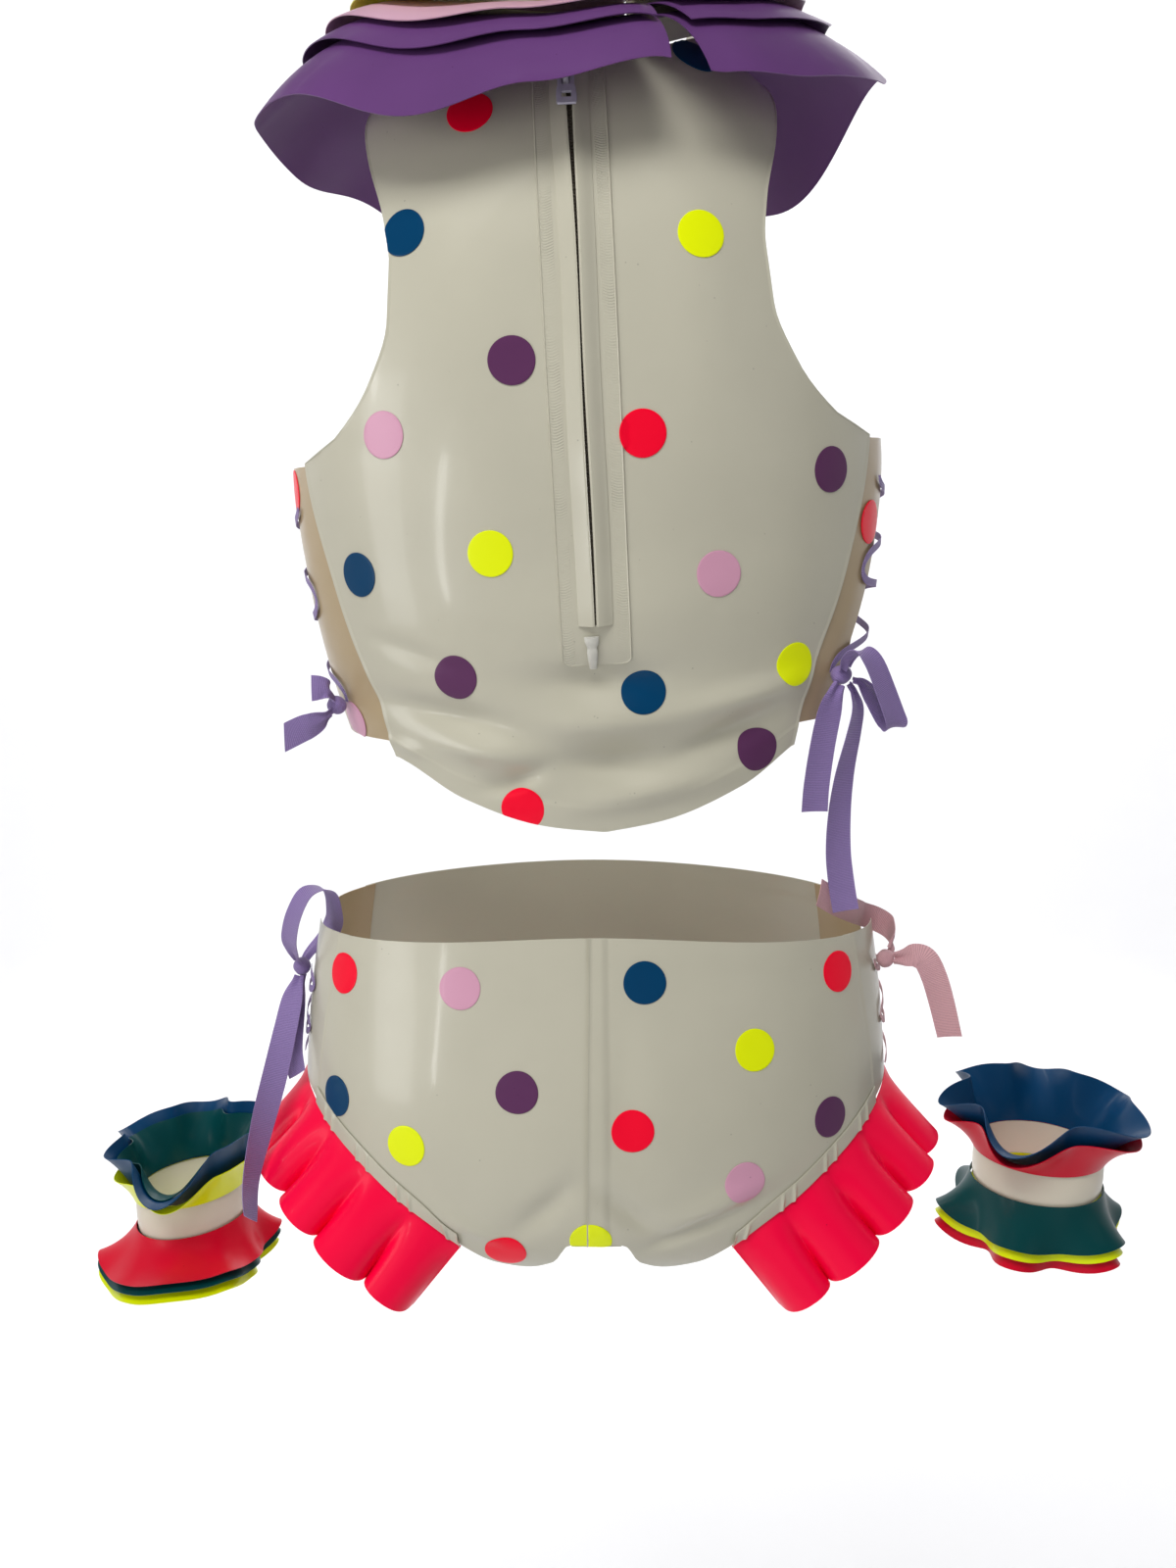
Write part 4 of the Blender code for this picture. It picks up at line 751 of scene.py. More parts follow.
# ---- the wearer's form
@dataclass(frozen=True)
class BodyForm:
    """Rounded body section that changes with height.

    Attributes:
        rows: (side z, back z, front z, half width, back depth, front depth) a level.
        folds: (beta, level, half width in degrees, half height, rise, slant) of soft folds.
        squareness: power of the rounded section.
        shift_x: how far the body stands to the side.
        lean_deg: lean about the Y axis, with lean_x and lean_z its pivot.
    """

    rows: Table
    folds: Table = ()
    squareness: float = 2.3
    shift_x: float = 0.0
    lean_deg: float = 0.0
    lean_x: float = 0.0
    lean_z: float = 0.0

    @property
    def top_level(self) -> float:
        """Highest level of the table."""
        return len(self.rows) - 1.0

    def section(self, azimuth: Array, level: Array) -> Array:
        """Point of the upright section: |x/a|^n + |y/b|^n = 1, with its ends tilted in z."""
        row = smooth_rows(self.rows, level)
        c, s = np.cos(np.radians(azimuth)), np.sin(np.radians(azimuth))
        depth = np.where(s < 0.0, row[..., 4], row[..., 5])
        reach = (np.abs(c / row[..., 3]) ** self.squareness
                 + np.abs(s / depth) ** self.squareness) ** (-1.0 / self.squareness)
        turn = np.abs(s) ** 1.5
        end = np.where(s < 0.0, row[..., 1], row[..., 2])
        return np.stack([reach * c, reach * s, row[..., 0] * (1.0 - turn) + end * turn], axis=-1)

    def tilt(self, points: Array) -> Array:
        """Turns points by the body's lean and moves them to its side."""
        c, s = math.cos(math.radians(self.lean_deg)), math.sin(math.radians(self.lean_deg))
        x, z = points[..., 0], points[..., 2] - self.lean_z
        return np.stack([self.lean_x + self.shift_x + x * c - z * s, points[..., 1],
                         self.lean_z + x * s + z * c], axis=-1)

    def relief(self, beta: Array, level: Array) -> Array:
        """Height of the folds, each a bell round its place."""
        height = np.zeros(np.broadcast(beta, level).shape)
        for place, row, width, tall, rise, slant in self.folds:
            off = np.mod(beta - place + 180.0, 360.0) - 180.0
            height += rise * bell(off, 0.0, width) * bell(level - slant * off, row, tall)
        return height

    def face(self, beta: Array, level: Array) -> Array:
        """Point of the cloth's outer face."""
        beta, level = np.broadcast_arrays(beta, level)
        azimuth = BACK + beta
        return self.tilt(self.section(azimuth, level)
                         + self.relief(beta, level)[..., None] * compass(azimuth))

    def normal(self, beta: Array, level: Array) -> Array:
        """Outward normal, from small steps round and up."""
        along = self.face(beta + 0.2, level) - self.face(beta - 0.2, level)
        rise = (self.face(beta, np.minimum(level + 0.02, self.top_level))
                - self.face(beta, np.maximum(level - 0.02, 0.0)))
        return unit(np.cross(along, rise))

    def on(self, beta: Array, level: Array, lift: Array | float = 0.0) -> Array:
        """Point moved out from the cloth's face by lift."""
        beta, level, lift = np.broadcast_arrays(beta, level, lift)
        return self.face(beta, level) + lift[..., None] * self.normal(beta, level)

    def sheet(self, name: str, finish: Latex | Fitting, beta: Array, level: Array,
              lift: Array | float, *nodes: str, **more: object) -> Piece:
        """Makes a sheet with its outer face at lift over the form; more is for make_sheet."""
        return make_sheet(name, finish, self.on(beta, level, lift), self.normal(beta, level),
                          *nodes, **more)

    def step(self, beta: float, level: float, across: Array, up: Array) -> tuple[Array, Array]:
        """Place reached by going across and up over the face from a spot.

        Args:
            beta: the spot's beta.
            level: the spot's level.
            across: metres to the +X side, level with the ground.
            up: metres upwards on the face.

        Returns:
            Beta and level of each place.
        """
        here = self.face(beta, level)
        by_beta = (self.face(beta + 0.5, level) - here) / 0.5
        by_level = (self.face(beta, level + 0.05) - here) / 0.05
        wide = unit(by_beta)
        tall = unit(by_level - wide * np.sum(wide * by_level))
        ways = np.array([[by_beta @ wide, by_level @ wide], [by_beta @ tall, by_level @ tall]])
        back = np.linalg.inv(ways)
        return (beta + back[0, 0] * across + back[0, 1] * up,
                level + back[1, 0] * across + back[1, 1] * up)


TORSO = BodyForm(
    rows=((-0.400, -0.400, -0.400, 0.126, 0.086, 0.096),
          (-0.340, -0.345, -0.345, 0.135, 0.091, 0.102),
          (-0.285, -0.290, -0.290, 0.148, 0.097, 0.114),
          (-0.230, -0.235, -0.235, 0.156, 0.102, 0.122),
          (-0.178, -0.180, -0.185, 0.158, 0.106, 0.122),
          (-0.120, -0.130, -0.140, 0.150, 0.106, 0.110),
          (-0.062, -0.085, -0.105, 0.134, 0.099, 0.094),
          (-0.012, -0.045, -0.080, 0.110, 0.086, 0.078),
          (0.014, -0.018, -0.062, 0.086, 0.073, 0.067),
          (0.026, 0.000, -0.050, 0.070, 0.062, 0.058)),
    folds=((0.0, 2.03, 18.0, 0.15, -0.0054, 0.0), (-42.0, 1.72, 15.0, 0.14, -0.0056, -0.006),
           (4.0, 1.64, 20.0, 0.16, 0.0058, 0.0), (38.0, 1.76, 15.0, 0.13, 0.0054, 0.004),
           (-31.0, 1.38, 12.0, 0.14, 0.0064, -0.004), (-27.0, 1.12, 8.0, 0.09, -0.0044, 0.010),
           (4.0, 1.27, 17.0, 0.14, -0.0060, 0.0), (36.0, 1.42, 12.0, 0.13, -0.0056, 0.008),
           (14.0, 0.96, 22.0, 0.12, 0.0044, 0.004), (-54.0, 1.38, 5.0, 0.07, 0.0016, -0.010),
           (8.0, 2.60, 46.0, 0.40, 0.0030, 0.0), (-48.0, 2.30, 9.0, 0.10, -0.0014, -0.012),
           (-26.0, 4.60, 10.0, 1.30, 0.0018, 0.0), (30.0, 5.40, 10.0, 1.40, 0.0020, 0.0),
           (58.0, 2.60, 6.0, 0.70, -0.0014, 0.0), (-62.0, 3.10, 7.0, 0.80, -0.0012, 0.0),
           (150.0, 1.95, 30.0, 0.16, 0.0030, 0.004), (-150.0, 1.95, 30.0, 0.16, 0.0030, -0.004),
           (180.0, 1.52, 34.0, 0.14, -0.0034, 0.0), (180.0, 2.30, 26.0, 0.15, -0.0024, 0.0),
           (160.0, 3.60, 22.0, 0.18, -0.0018, 0.006), (-156.0, 3.30, 18.0, 0.16, -0.0014, -0.006)),
    lean_deg=2.9, lean_x=0.003, lean_z=-0.25)
HIPS = BodyForm(
    rows=((-0.636, -0.636, -0.634, 0.030, 0.018, 0.012),
          (-0.632, -0.632, -0.629, 0.085, 0.052, 0.030),
          (-0.622, -0.621, -0.616, 0.130, 0.083, 0.048),
          (-0.606, -0.602, -0.596, 0.158, 0.106, 0.066),
          (-0.583, -0.577, -0.571, 0.170, 0.117, 0.080),
          (-0.553, -0.546, -0.543, 0.172, 0.119, 0.090),
          (-0.515, -0.507, -0.507, 0.170, 0.115, 0.095),
          (-0.475, -0.464, -0.466, 0.166, 0.104, 0.094),
          (-0.436, -0.422, -0.430, 0.160, 0.094, 0.090)),
    folds=((-13.0, 4.50, 8.0, 0.30, -0.0036, 0.05), (9.0, 4.40, 9.0, 0.26, -0.0038, -0.05),
           (24.0, 4.05, 12.0, 0.16, -0.0032, 0.035), (30.0, 4.62, 10.0, 0.22, 0.0026, 0.03),
           (-30.0, 4.05, 9.0, 0.20, 0.0022, -0.03), (-42.0, 6.60, 9.0, 1.20, 0.0010, 0.0),
           (7.0, 6.10, 5.0, 0.80, -0.0012, 0.0),
           (160.0, 3.30, 12.0, 0.30, -0.0018, 0.03), (-160.0, 3.30, 12.0, 0.30, -0.0018, -0.03),
           (140.0, 4.60, 10.0, 0.30, -0.0016, 0.03), (-140.0, 4.60, 10.0, 0.30, -0.0016, -0.03)),
    shift_x=0.0045)

NECK, WAIST, ARMPIT = 9.0, 8.0, 4.05
TORSO_LEVELS = 18.0       # levels of the torso in a metre, low on the back
TOP_LEVEL, LEG_LEVEL, WAIST_LEVEL = 0.055, 0.030, 0.040     # metres in a level, roughly
TOP_DEG, HIP_DEG = 0.0024, 0.0026                           # metres in a degree of beta, roughly
SEAM_DEG = 0.15                                             # half of a seam's gap
FRONT_EDGE, FRONT_SEAM = 96.5, 108.0     # beta of the front strips' open edge and of their seam
# (beta, level) of the top's hem, then (level, beta) of the back strips' seam and open edge by side
HEM = ((0.0, 0.60), (20.0, 0.68), (42.0, 0.92), (57.0, 1.25), (70.0, 1.42), (90.0, 1.50),
       (110.0, 1.48), (135.0, 1.30), (180.0, 1.20))
STRIP_SEAM = {-1: ((1.20, 58.5), (1.80, 60.0), (2.50, 64.0), (3.20, 67.0), (4.05, 70.0)),
              1: ((1.20, 55.0), (1.80, 57.0), (2.50, 62.0), (3.20, 66.0), (4.05, 70.0))}
STRIP_EDGE = {-1: ((1.20, 79.0), (2.40, 82.0), (4.05, 80.0)),
              1: ((1.20, 63.5), (1.80, 66.5), (2.50, 71.5), (3.20, 76.5), (4.05, 81.5))}
HIP_STRIP_IN, HIP_STRIP_OUT = 70.0, 83.5 # beta of the briefs' back strips' seam and open edge
# shares of a strip's width at its columns; the first two lie lapped under the panel
STRIP_SHARES = np.concatenate([[-0.22, -0.02], np.linspace(0.02, 1.0, 12)])[:, None]
STRIP_LIFT = -(LATEX + LIFT) * (1.0 - step_up(STRIP_SHARES, 0.1, 0.6))
SIDE_EDGE = np.array([0.988, 0.994, 1.0])     # shares of the columns at a panel's glued edge
SIDE_LIP = 0.0004                             # how far a glued edge stands up


def by_side(tables: dict[int, Table], side: Array, level: Array) -> Array:
    """Reads the -X side's table where side is negative, and the +X side's elsewhere."""
    return np.where(side < 0.0, smooth_table(tables[-1], level), smooth_table(tables[1], level))


def side_lip(shares: Array) -> Array:
    """Rise of a panel's glued side edge, one value a column."""
    return SIDE_LIP * step_up(np.abs(shares), 0.988, 0.994)[:, None]


# ---- glued dots
@dataclass(frozen=True)
class Dots:
    """Round latex dots glued on a garment.

    Attributes:
        garment: name of the garment.
        form: the form under them.
        spots: (beta, level) of each dot, by finish.
        limits: distance in metres inside the cloth's edge, from beta and level.
        under: height in metres of what lies under them, from beta and level.
        radius: radius of a dot.
        thick: thickness of a dot.
    """

    garment: str
    form: BodyForm
    spots: dict[Latex, Table]
    limits: Callable[[Array, Array], Array]
    under: Callable[[Array, Array], Array]
    radius: float = 0.0111
    thick: float = 0.0004

    def outline(self, beta: float, level: float) -> tuple[Array, Array]:
        """Angles round a dot, and its radius there: a circle cut by the cloth's edge."""
        angle = turns(72)
        reach = np.linspace(0.0, self.radius, 160)
        places = self.form.step(beta, level, reach * np.cos(angle)[:, None],
                                reach * np.sin(angle)[:, None])
        inside = self.limits(*places) > 0.0
        inside[:, 0] = True
        last = np.where(inside.all(axis=1), len(reach), np.argmin(inside, axis=1)) - 1
        return angle, reach[last]

    def build(self) -> None:
        """Makes one piece for each colour: discs with a rounded rim, a hair off the cloth."""
        top = LIFT + self.thick
        share = np.array([0.25, 0.5, 0.75, 0.93, 0.985, 1.0, 1.0, 0.9, 0.6, 0.3])[:, None]
        lift = np.array([top] * 4 + [top - 0.00004, top - 0.00014] + [LIFT] * 4)[:, None]
        for finish, spots in self.spots.items():
            parts = MeshParts()
            for beta, level in spots:
                angle, edge = self.outline(beta, level)
                places = self.form.step(beta, level, share * edge * np.cos(angle),
                                        share * edge * np.sin(angle))
                rings = self.form.on(*places, lift + self.under(*places))
                rest = self.under(beta, level)
                add_rings(parts, rings, self.form.on(beta, level, top + rest),
                          self.form.on(beta, level, LIFT + rest))
            dress(parts.build(f"{self.garment}_{finish.name.lower()}s"), finish)


def top_limits(beta: Array, level: Array) -> Array:
    """Distance in metres from the top's edge, roughly, positive on the cloth."""
    side = np.abs(beta)
    strip = by_side(STRIP_EDGE, beta, level)
    hole = smooth_table(CropTop.armhole_back, level)
    behind = np.where(level <= ARMPIT, strip, hole) - side
    ahead = side - np.where(level <= ARMPIT, FRONT_EDGE, smooth_table(CropTop.armhole_front, level))
    hem = level - smooth_table(HEM, np.minimum(side, 360.0 - side))
    return np.minimum(hem * TOP_LEVEL, np.where(side > 90.0, ahead, behind) * TOP_DEG)


def hip_limits(beta: Array, level: Array) -> Array:
    """Distance in metres from the briefs' edge, roughly, positive on the cloth."""
    side = np.abs(beta)
    leg = np.where(side < 90.0, smooth_table(Briefs.leg_back, side),
                   smooth_table(Briefs.leg_front, side))
    edge = np.where(side < 90.0, HIP_STRIP_OUT - side, side - FRONT_EDGE)
    above, below = (level - leg) * LEG_LEVEL, (WAIST - level) * WAIST_LEVEL
    return np.minimum(np.minimum(above, below), edge * HIP_DEG)


# ---- crop top
@dataclass(frozen=True)
class CropTop:
    """Sleeveless crop top: back with a slit, front over both shoulders, lacing strips.

    Attributes:
        armhole_back: (level, beta) of the back's armhole edge.
        armhole_front: the same for the front.
        slit: half of the slit, as a share of the way to the back's side edge.
        slit_foot: share of the way from hem to armpit where the slit ends.
        facing: depth of the turned hem.
    """

    armhole_back: ClassVar[Table] = (
        (4.05, 70.0), (4.25, 59.0), (4.70, 50.0), (5.20, 46.0), (5.70, 46.5), (6.15, 50.0),
        (6.70, 60.5), (7.30, 77.0), (7.70, 90.0), (9.00, 90.0))
    armhole_front: ClassVar[Table] = (
        (4.05, 108.0), (4.25, 120.0), (4.70, 129.0), (5.20, 133.0), (5.70, 132.0), (6.15, 128.0),
        (6.70, 119.0), (7.30, 103.0), (7.70, 90.0), (9.00, 90.0))
    slit: float = 0.012
    slit_foot: float = 0.56
    facing: float = 0.07
    columns: int = 60
    body_rows: int = 100
    yoke_rows: int = 52

    def heights(self) -> Array:
        """Shares from hem to armpit, with a close pair at the turned hem and at the slit's foot."""
        even = np.linspace(0.0, 1.0, self.body_rows)
        even = even[(np.abs(even - self.slit_foot) > 0.005) & (np.abs(even - self.facing) > 0.008)]
        return np.sort(np.append(even, [self.slit_foot, self.facing - 0.003, self.facing + 0.003]))

    def cut(self, shares: Array, middle: float, armhole: Table,
            seam: dict[int, Table]) -> tuple[Array, Array]:
        """Beta and level of a panel: shares run from its middle to its side edge, the body
        rows rise from the hem to the armpit and the yoke rows go on to the neck.

        Args:
            shares: signed shares, one a column.
            middle: beta of the panel's middle.
            armhole: (level, beta) of its armhole edge.
            seam: (level, beta) of its side seam by side.

        Returns:
            Beta and level of the grid.
        """
        u = shares[:, None]
        sign = np.where(u < 0.0, -1.0, 1.0)
        foot = by_side(seam, sign, 1.35)
        hem = smooth_table(HEM, np.abs(middle - np.abs(u) * np.abs(foot - middle)))
        body = hem + (ARMPIT - hem) * self.heights()[None, :]
        yoke = np.linspace(ARMPIT, NECK, self.yoke_rows + 1)[1:]
        level = np.concatenate([body, np.broadcast_to(yoke, (len(shares), len(yoke)))], axis=1)
        edge = np.where(level <= ARMPIT, by_side(seam, sign, level), smooth_table(armhole, level))
        edge = edge - np.sign(edge - middle) * SEAM_DEG
        return sign * (middle + np.abs(u) * (edge - middle)), level

    def hem_lift(self, count: int) -> Array:
        """Rise of the turned hem, one value a row."""
        share = np.concatenate([self.heights(), np.ones(count - len(self.heights()))])
        return LATEX * 0.6 * step_up(-share, -self.facing - 0.003, -self.facing + 0.003)

    def build(self) -> None:
        """Makes the back, the front and the four strips."""
        half = np.concatenate([np.linspace(self.slit, 0.985, self.columns - 3), SIDE_EDGE])
        shares = np.concatenate([-half[::-1], half])
        beta, level = self.cut(shares, 0.0, self.armhole_back, STRIP_SEAM)
        keep = np.ones((len(shares) - 1, level.shape[1] - 1), dtype=bool)
        foot = int(np.argmin(np.abs(self.heights() - self.slit_foot)))
        keep[self.columns - 1, foot:] = False
        TORSO.sheet("top_back_panel", Latex.CREAM, beta, level,
                    self.hem_lift(level.shape[1]) + side_lip(shares), "top_back", keep=keep)
        seam = ((0.0, FRONT_SEAM), (ARMPIT, FRONT_SEAM))
        shares = np.linspace(0.02, 1.0, self.columns)
        beta, level = self.cut(shares, 180.0, self.armhole_front, {-1: seam, 1: seam})
        signed = np.concatenate([-beta[::-1], beta - 360.0])
        levels = np.concatenate([level[::-1], level])
        TORSO.sheet("top_front_panel", Latex.CREAM, signed, levels,
                    self.hem_lift(levels.shape[1]), "top_front")
        self.strips()

    def strips(self) -> None:
        """Makes the lacing strips between the panels' side seams and the open sides."""
        rows = self.heights()[::3]
        hem = smooth_table(HEM, 70.0)
        level = (hem + (ARMPIT - hem) * rows)[None, :]
        for side, name in SIDES:
            start = smooth_table(STRIP_SEAM[side], level) + SEAM_DEG
            back = start + (smooth_table(STRIP_EDGE[side], level) - start) * STRIP_SHARES
            front = FRONT_SEAM + (FRONT_EDGE - FRONT_SEAM) * STRIP_SHARES
            for place, beta in (("back", back), ("front", front)):
                TORSO.sheet(f"top_lacing_strip_{place}_{name}", Latex.TAN, side * beta, level,
                            STRIP_LIFT, f"top_strip_{place}_{name}")


# ---- zip
@dataclass(frozen=True)
class Zip:
    """Centre-back zip: facing over the tape, two flaps, tape, coil, slider, pull, end piece.

    Attributes:
        facing_half: half width of the facing.
        facing_foot: level of the facing's lower end.
        corner: radius of its lower corners.
        slit_foot: level where the slit ends.
        flap: width of a flap, from its lip outwards.
        lip: from the middle line to a flap's lip.
        flap_rise: how far a flap's lip stands up.
        slit_spread: how much wider the slit is under the slider, as a share.
        rim: width of the facing's edge.
        bead: height of the fine bead round the facing.
        thick: how far the facing stands up over the panel.
        tape_half: half width of the tape.
        tape_depth: how far behind the panel the tape lies.
        coil_pitch: from one bar of the coil to the next.
        bar_shift: how far the bars stand to the left and to the right in turn.
        end_half: half width of the end piece at its top.
        end_tall: half of its height over the facing.
        slider_half: half width and half length of the slider.
        slider_power: power of its rounded outline; a square has a small one.
        plate: thickness of the slider under its arch.
        arch_half: half width and half thickness of the arch.
        hinge_gap: room under the arch, where the pull's eye turns.
    """

    facing_half: float = 0.0172
    facing_foot: float = 2.17
    corner: float = 0.0045
    slit_foot: float = 2.532
    flap: float = 0.0078
    lip: float = 0.0006
    flap_rise: float = 0.0030
    slit_spread: float = 1.6
    rim: float = 0.0009
    bead: float = 0.00035
    thick: float = 0.00045
    tape_half: float = 0.015
    tape_depth: float = 0.0010
    tape_thick: float = 0.0006
    coil_pitch: float = 0.0017
    coil_top: float = 8.1
    bar_radius: float = 0.0006
    bar_shift: float = 0.0006
    end_half: float = 0.0037
    end_tall: float = 0.0014
    end_level: float = 2.44
    end_foot: float = 2.16
    end_beta: float = -1.2
    slider_beta: float = -1.0
    slider_level: float = 8.30
    slider_lift: float = 0.0022
    slider_half: tuple[float, float] = (0.0044, 0.0052)
    slider_power: float = 0.55
    plate: float = 0.0030
    arch_half: tuple[float, float] = (0.0013, 0.00055)
    hinge_gap: float = 0.0025
    pull_thick: float = 0.0012

    def build(self) -> None:
        """Makes every part of the zip."""
        self.build_facing(self.build_flaps())
        self.build_tape()
        self.build_coil()
        self.build_end()
        self.build_slider()
        self.build_pull()

    def per_degree(self, level: Array) -> Array:
        """Metres across the middle of the back for each degree of beta."""
        return np.linalg.norm(TORSO.face(1.0, level) - TORSO.face(-1.0, level), axis=-1) / 2.0

    def beta_at(self, across: Array, level: Array) -> Array:
        """Beta of a place that lies across metres from the middle line."""
        return across / self.per_degree(level)

    def height(self, beta: Array, level: Array) -> Array:
        """Height of the facing over the panel, with a soft edge, for what lies on it."""
        across = np.abs(beta * self.per_degree(level))
        on_facing = step_up(-across, -self.facing_half - self.rim, -self.facing_half)
        return (LIFT + self.thick + self.bead) * on_facing * (level > self.facing_foot)

    def build_facing(self, flaps: tuple[Piece, ...]) -> None:
        """U-shaped facing: rounded lower corners, a fine bead round its edge and, between the
        flaps' feet, no bead, so that it runs out flat under the end piece."""
        half = self.facing_half
        inner = np.array([0.0015, 0.004, 0.0065, 0.009, 0.0115, 0.0135, 0.0150])
        edge = half - self.rim * np.array([1.5, 1.2, 0.9, 0.6, 0.3, 0.1, 0.0])
        right = np.concatenate([inner, edge])
        across = np.concatenate([-right[::-1], right])[:, None]
        past = np.maximum(np.abs(across) - (half - self.corner), 0.0)
        raised = self.corner - np.sqrt(np.maximum(self.corner ** 2 - past ** 2, 0.0))
        foot = self.facing_foot + raised * TORSO_LEVELS
        rim = np.array([0.0, 0.1, 0.3, 0.6, 0.9, 1.2, 1.5]) * self.rim * TORSO_LEVELS
        body = np.linspace(0.14, NECK - self.facing_foot, 120)
        run = np.concatenate([rim, body])[None, :]
        level = foot + (NECK - foot) * run / run[0, -1]
        slit_row = int(np.argmin(np.abs(level[0] - self.slit_foot)))
        level = level + (self.slit_foot - level[:, slit_row])[:, None] * bell(
            np.arange(level.shape[1]), slit_row, 2.0)
        inside = np.minimum(half - np.abs(across), run / TORSO_LEVELS)
        along_foot = step_up(run, 0.0, 0.25) + step_up(np.abs(across), 0.0050, 0.0075)
        bead = bell(inside / self.rim, 0.55, 0.30) * np.minimum(along_foot, 1.0)
        lift = LIFT + self.thick * (0.25 + 0.75 * step_up(inside, 0.0, self.rim / 2.0))
        lift = lift + self.bead * bead
        beta = self.beta_at(across, level)
        keep = np.ones((across.size - 1, run.size - 1), dtype=bool)
        keep[len(right) - 1, slit_row:] = False
        points = TORSO.on(beta, level, lift)
        uv = np.stack([np.broadcast_to(across, level.shape), surface_lengths(points)[..., 1]], axis=-1)
        make_sheet("zip_facing", Latex.FACING, points, TORSO.normal(beta, level),
                   wall=self.thick * 0.25, keep=keep, uv=uv, trims=flaps, sharp_deg=60.0)

    def build_flaps(self) -> tuple[Piece, ...]:
        """Two strips that lean on each other over the slit like a low roof: the left one flat
        with a crisp lip, the right one rounded, and the slit widest under the slider."""
        share = np.array([1.0, 0.97, 0.85, 0.7, 0.55, 0.4, 0.25, 0.12, 0.04, 0.0])[:, None]
        level = np.linspace(self.slit_foot, NECK, 110)[None, :]
        parted = 1.0 + self.slit_spread * step_up(level, 6.2, 8.2)
        flaps = []
        for side, name in SIDES:
            sway = 0.0003 * np.sin(level * 2.1 + side)
            across = self.lip * parted + share * self.flap + sway
            roof = (1.0 - share) if side < 0 else np.sin(np.pi / 2.0 * (1.0 - share)) ** 1.3
            rolled = np.where(share < 0.05, -0.0003, 0.0)
            lift = LIFT * 2 + self.thick * 2 + roof * self.flap_rise + rolled
            beta = self.beta_at(side * across, level)
            points = TORSO.on(beta, level, lift)
            out = TORSO.normal(beta, level)
            flaps.append(make_sheet(f"zip_flap_strip_{name}", Latex.CREAM, points,
                                    grid_normals(points, out), f"zip_flap_{name}",
                                    held=None, sharp_deg=25.0))
        return tuple(flaps)

    def build_tape(self) -> None:
        """Woven tape behind the slit."""
        level = np.linspace(self.facing_foot + 0.1, NECK, 90)[None, :]
        across = np.linspace(-self.tape_half, self.tape_half, 13)[:, None]
        beta = self.beta_at(across, level)
        TORSO.sheet("zip_tape_weave", Fitting.TAPE, beta, level, -LATEX - self.tape_depth,
                    "zip_tape", wall=self.tape_thick)

    def build_coil(self) -> None:
        """Moulded coil in the slit: short bars across, one a pitch, left and right in turn."""
        levels = np.linspace(self.slit_foot + 0.1, self.coil_top, 400)
        length = lengths_along(TORSO.face(0.0, levels))
        count = int(length[-1] / self.coil_pitch)
        level = np.interp(np.arange(count) * self.coil_pitch, length, levels)
        middle = TORSO.on(0.0, level, -LATEX - 0.0003)
        out = TORSO.normal(0.0, level)
        wide = unit(TORSO.face(0.5, level) - TORSO.face(-0.5, level))
        up = np.cross(out, wide)
        parts = MeshParts()
        turn = turns(6)[:, None]
        size = np.array([0.4, 1.0, 1.0, 0.4])[:, None, None] * self.bar_radius
        for bar in range(count):
            shift = self.bar_shift * (1 if bar % 2 else -1)
            ends = (np.array([-0.0013, -0.0011, 0.0011, 0.0013]) + shift)[:, None, None]
            ring = np.cos(turn) * out[bar] + np.sin(turn) * up[bar]
            add_rings(parts, middle[bar] + ends * wide[bar] + size * ring)
        dress(parts.build("zip_coil"), Fitting.COIL_PAINTED_SHADE)

    def build_end(self) -> None:
        """Tapered end piece: rounded across, waisted, narrower and lower towards its foot."""
        share = np.linspace(0.0, 1.0, 26)[:, None]
        angle = turns(30)
        waist = 1.0 - 0.22 * bell(share, 0.36, 0.10)
        half = (self.end_half - 0.0019 * share) * waist
        tall = (self.end_tall - 0.0006 * share) * waist
        level = self.end_level + (self.end_foot - self.end_level) * share
        x = half * np.sign(np.cos(angle)) * np.abs(np.cos(angle)) ** 0.8
        lift = LIFT * 3 + self.thick + tall * (1.0 + np.sin(angle))
        parts = MeshParts()
        add_rings(parts, TORSO.on(self.end_beta + self.beta_at(x, level), level, lift))
        dress(parts.build("zip_end_piece"), Fitting.END, "zip_end")

    def slider_frame(self) -> tuple[Array, Array, Array, Array]:
        """Foot point of the slider and its unit ways wide, up and out."""
        beta, level = self.slider_beta, self.slider_level
        out = TORSO.normal(beta, level)
        up = TORSO.face(beta, level + 0.1) - TORSO.face(beta, level - 0.1)
        up = unit(up - out * np.dot(up, out))
        wide = unit(np.cross(up, -out))
        return TORSO.face(beta, level) + out * self.slider_lift, wide, up, out

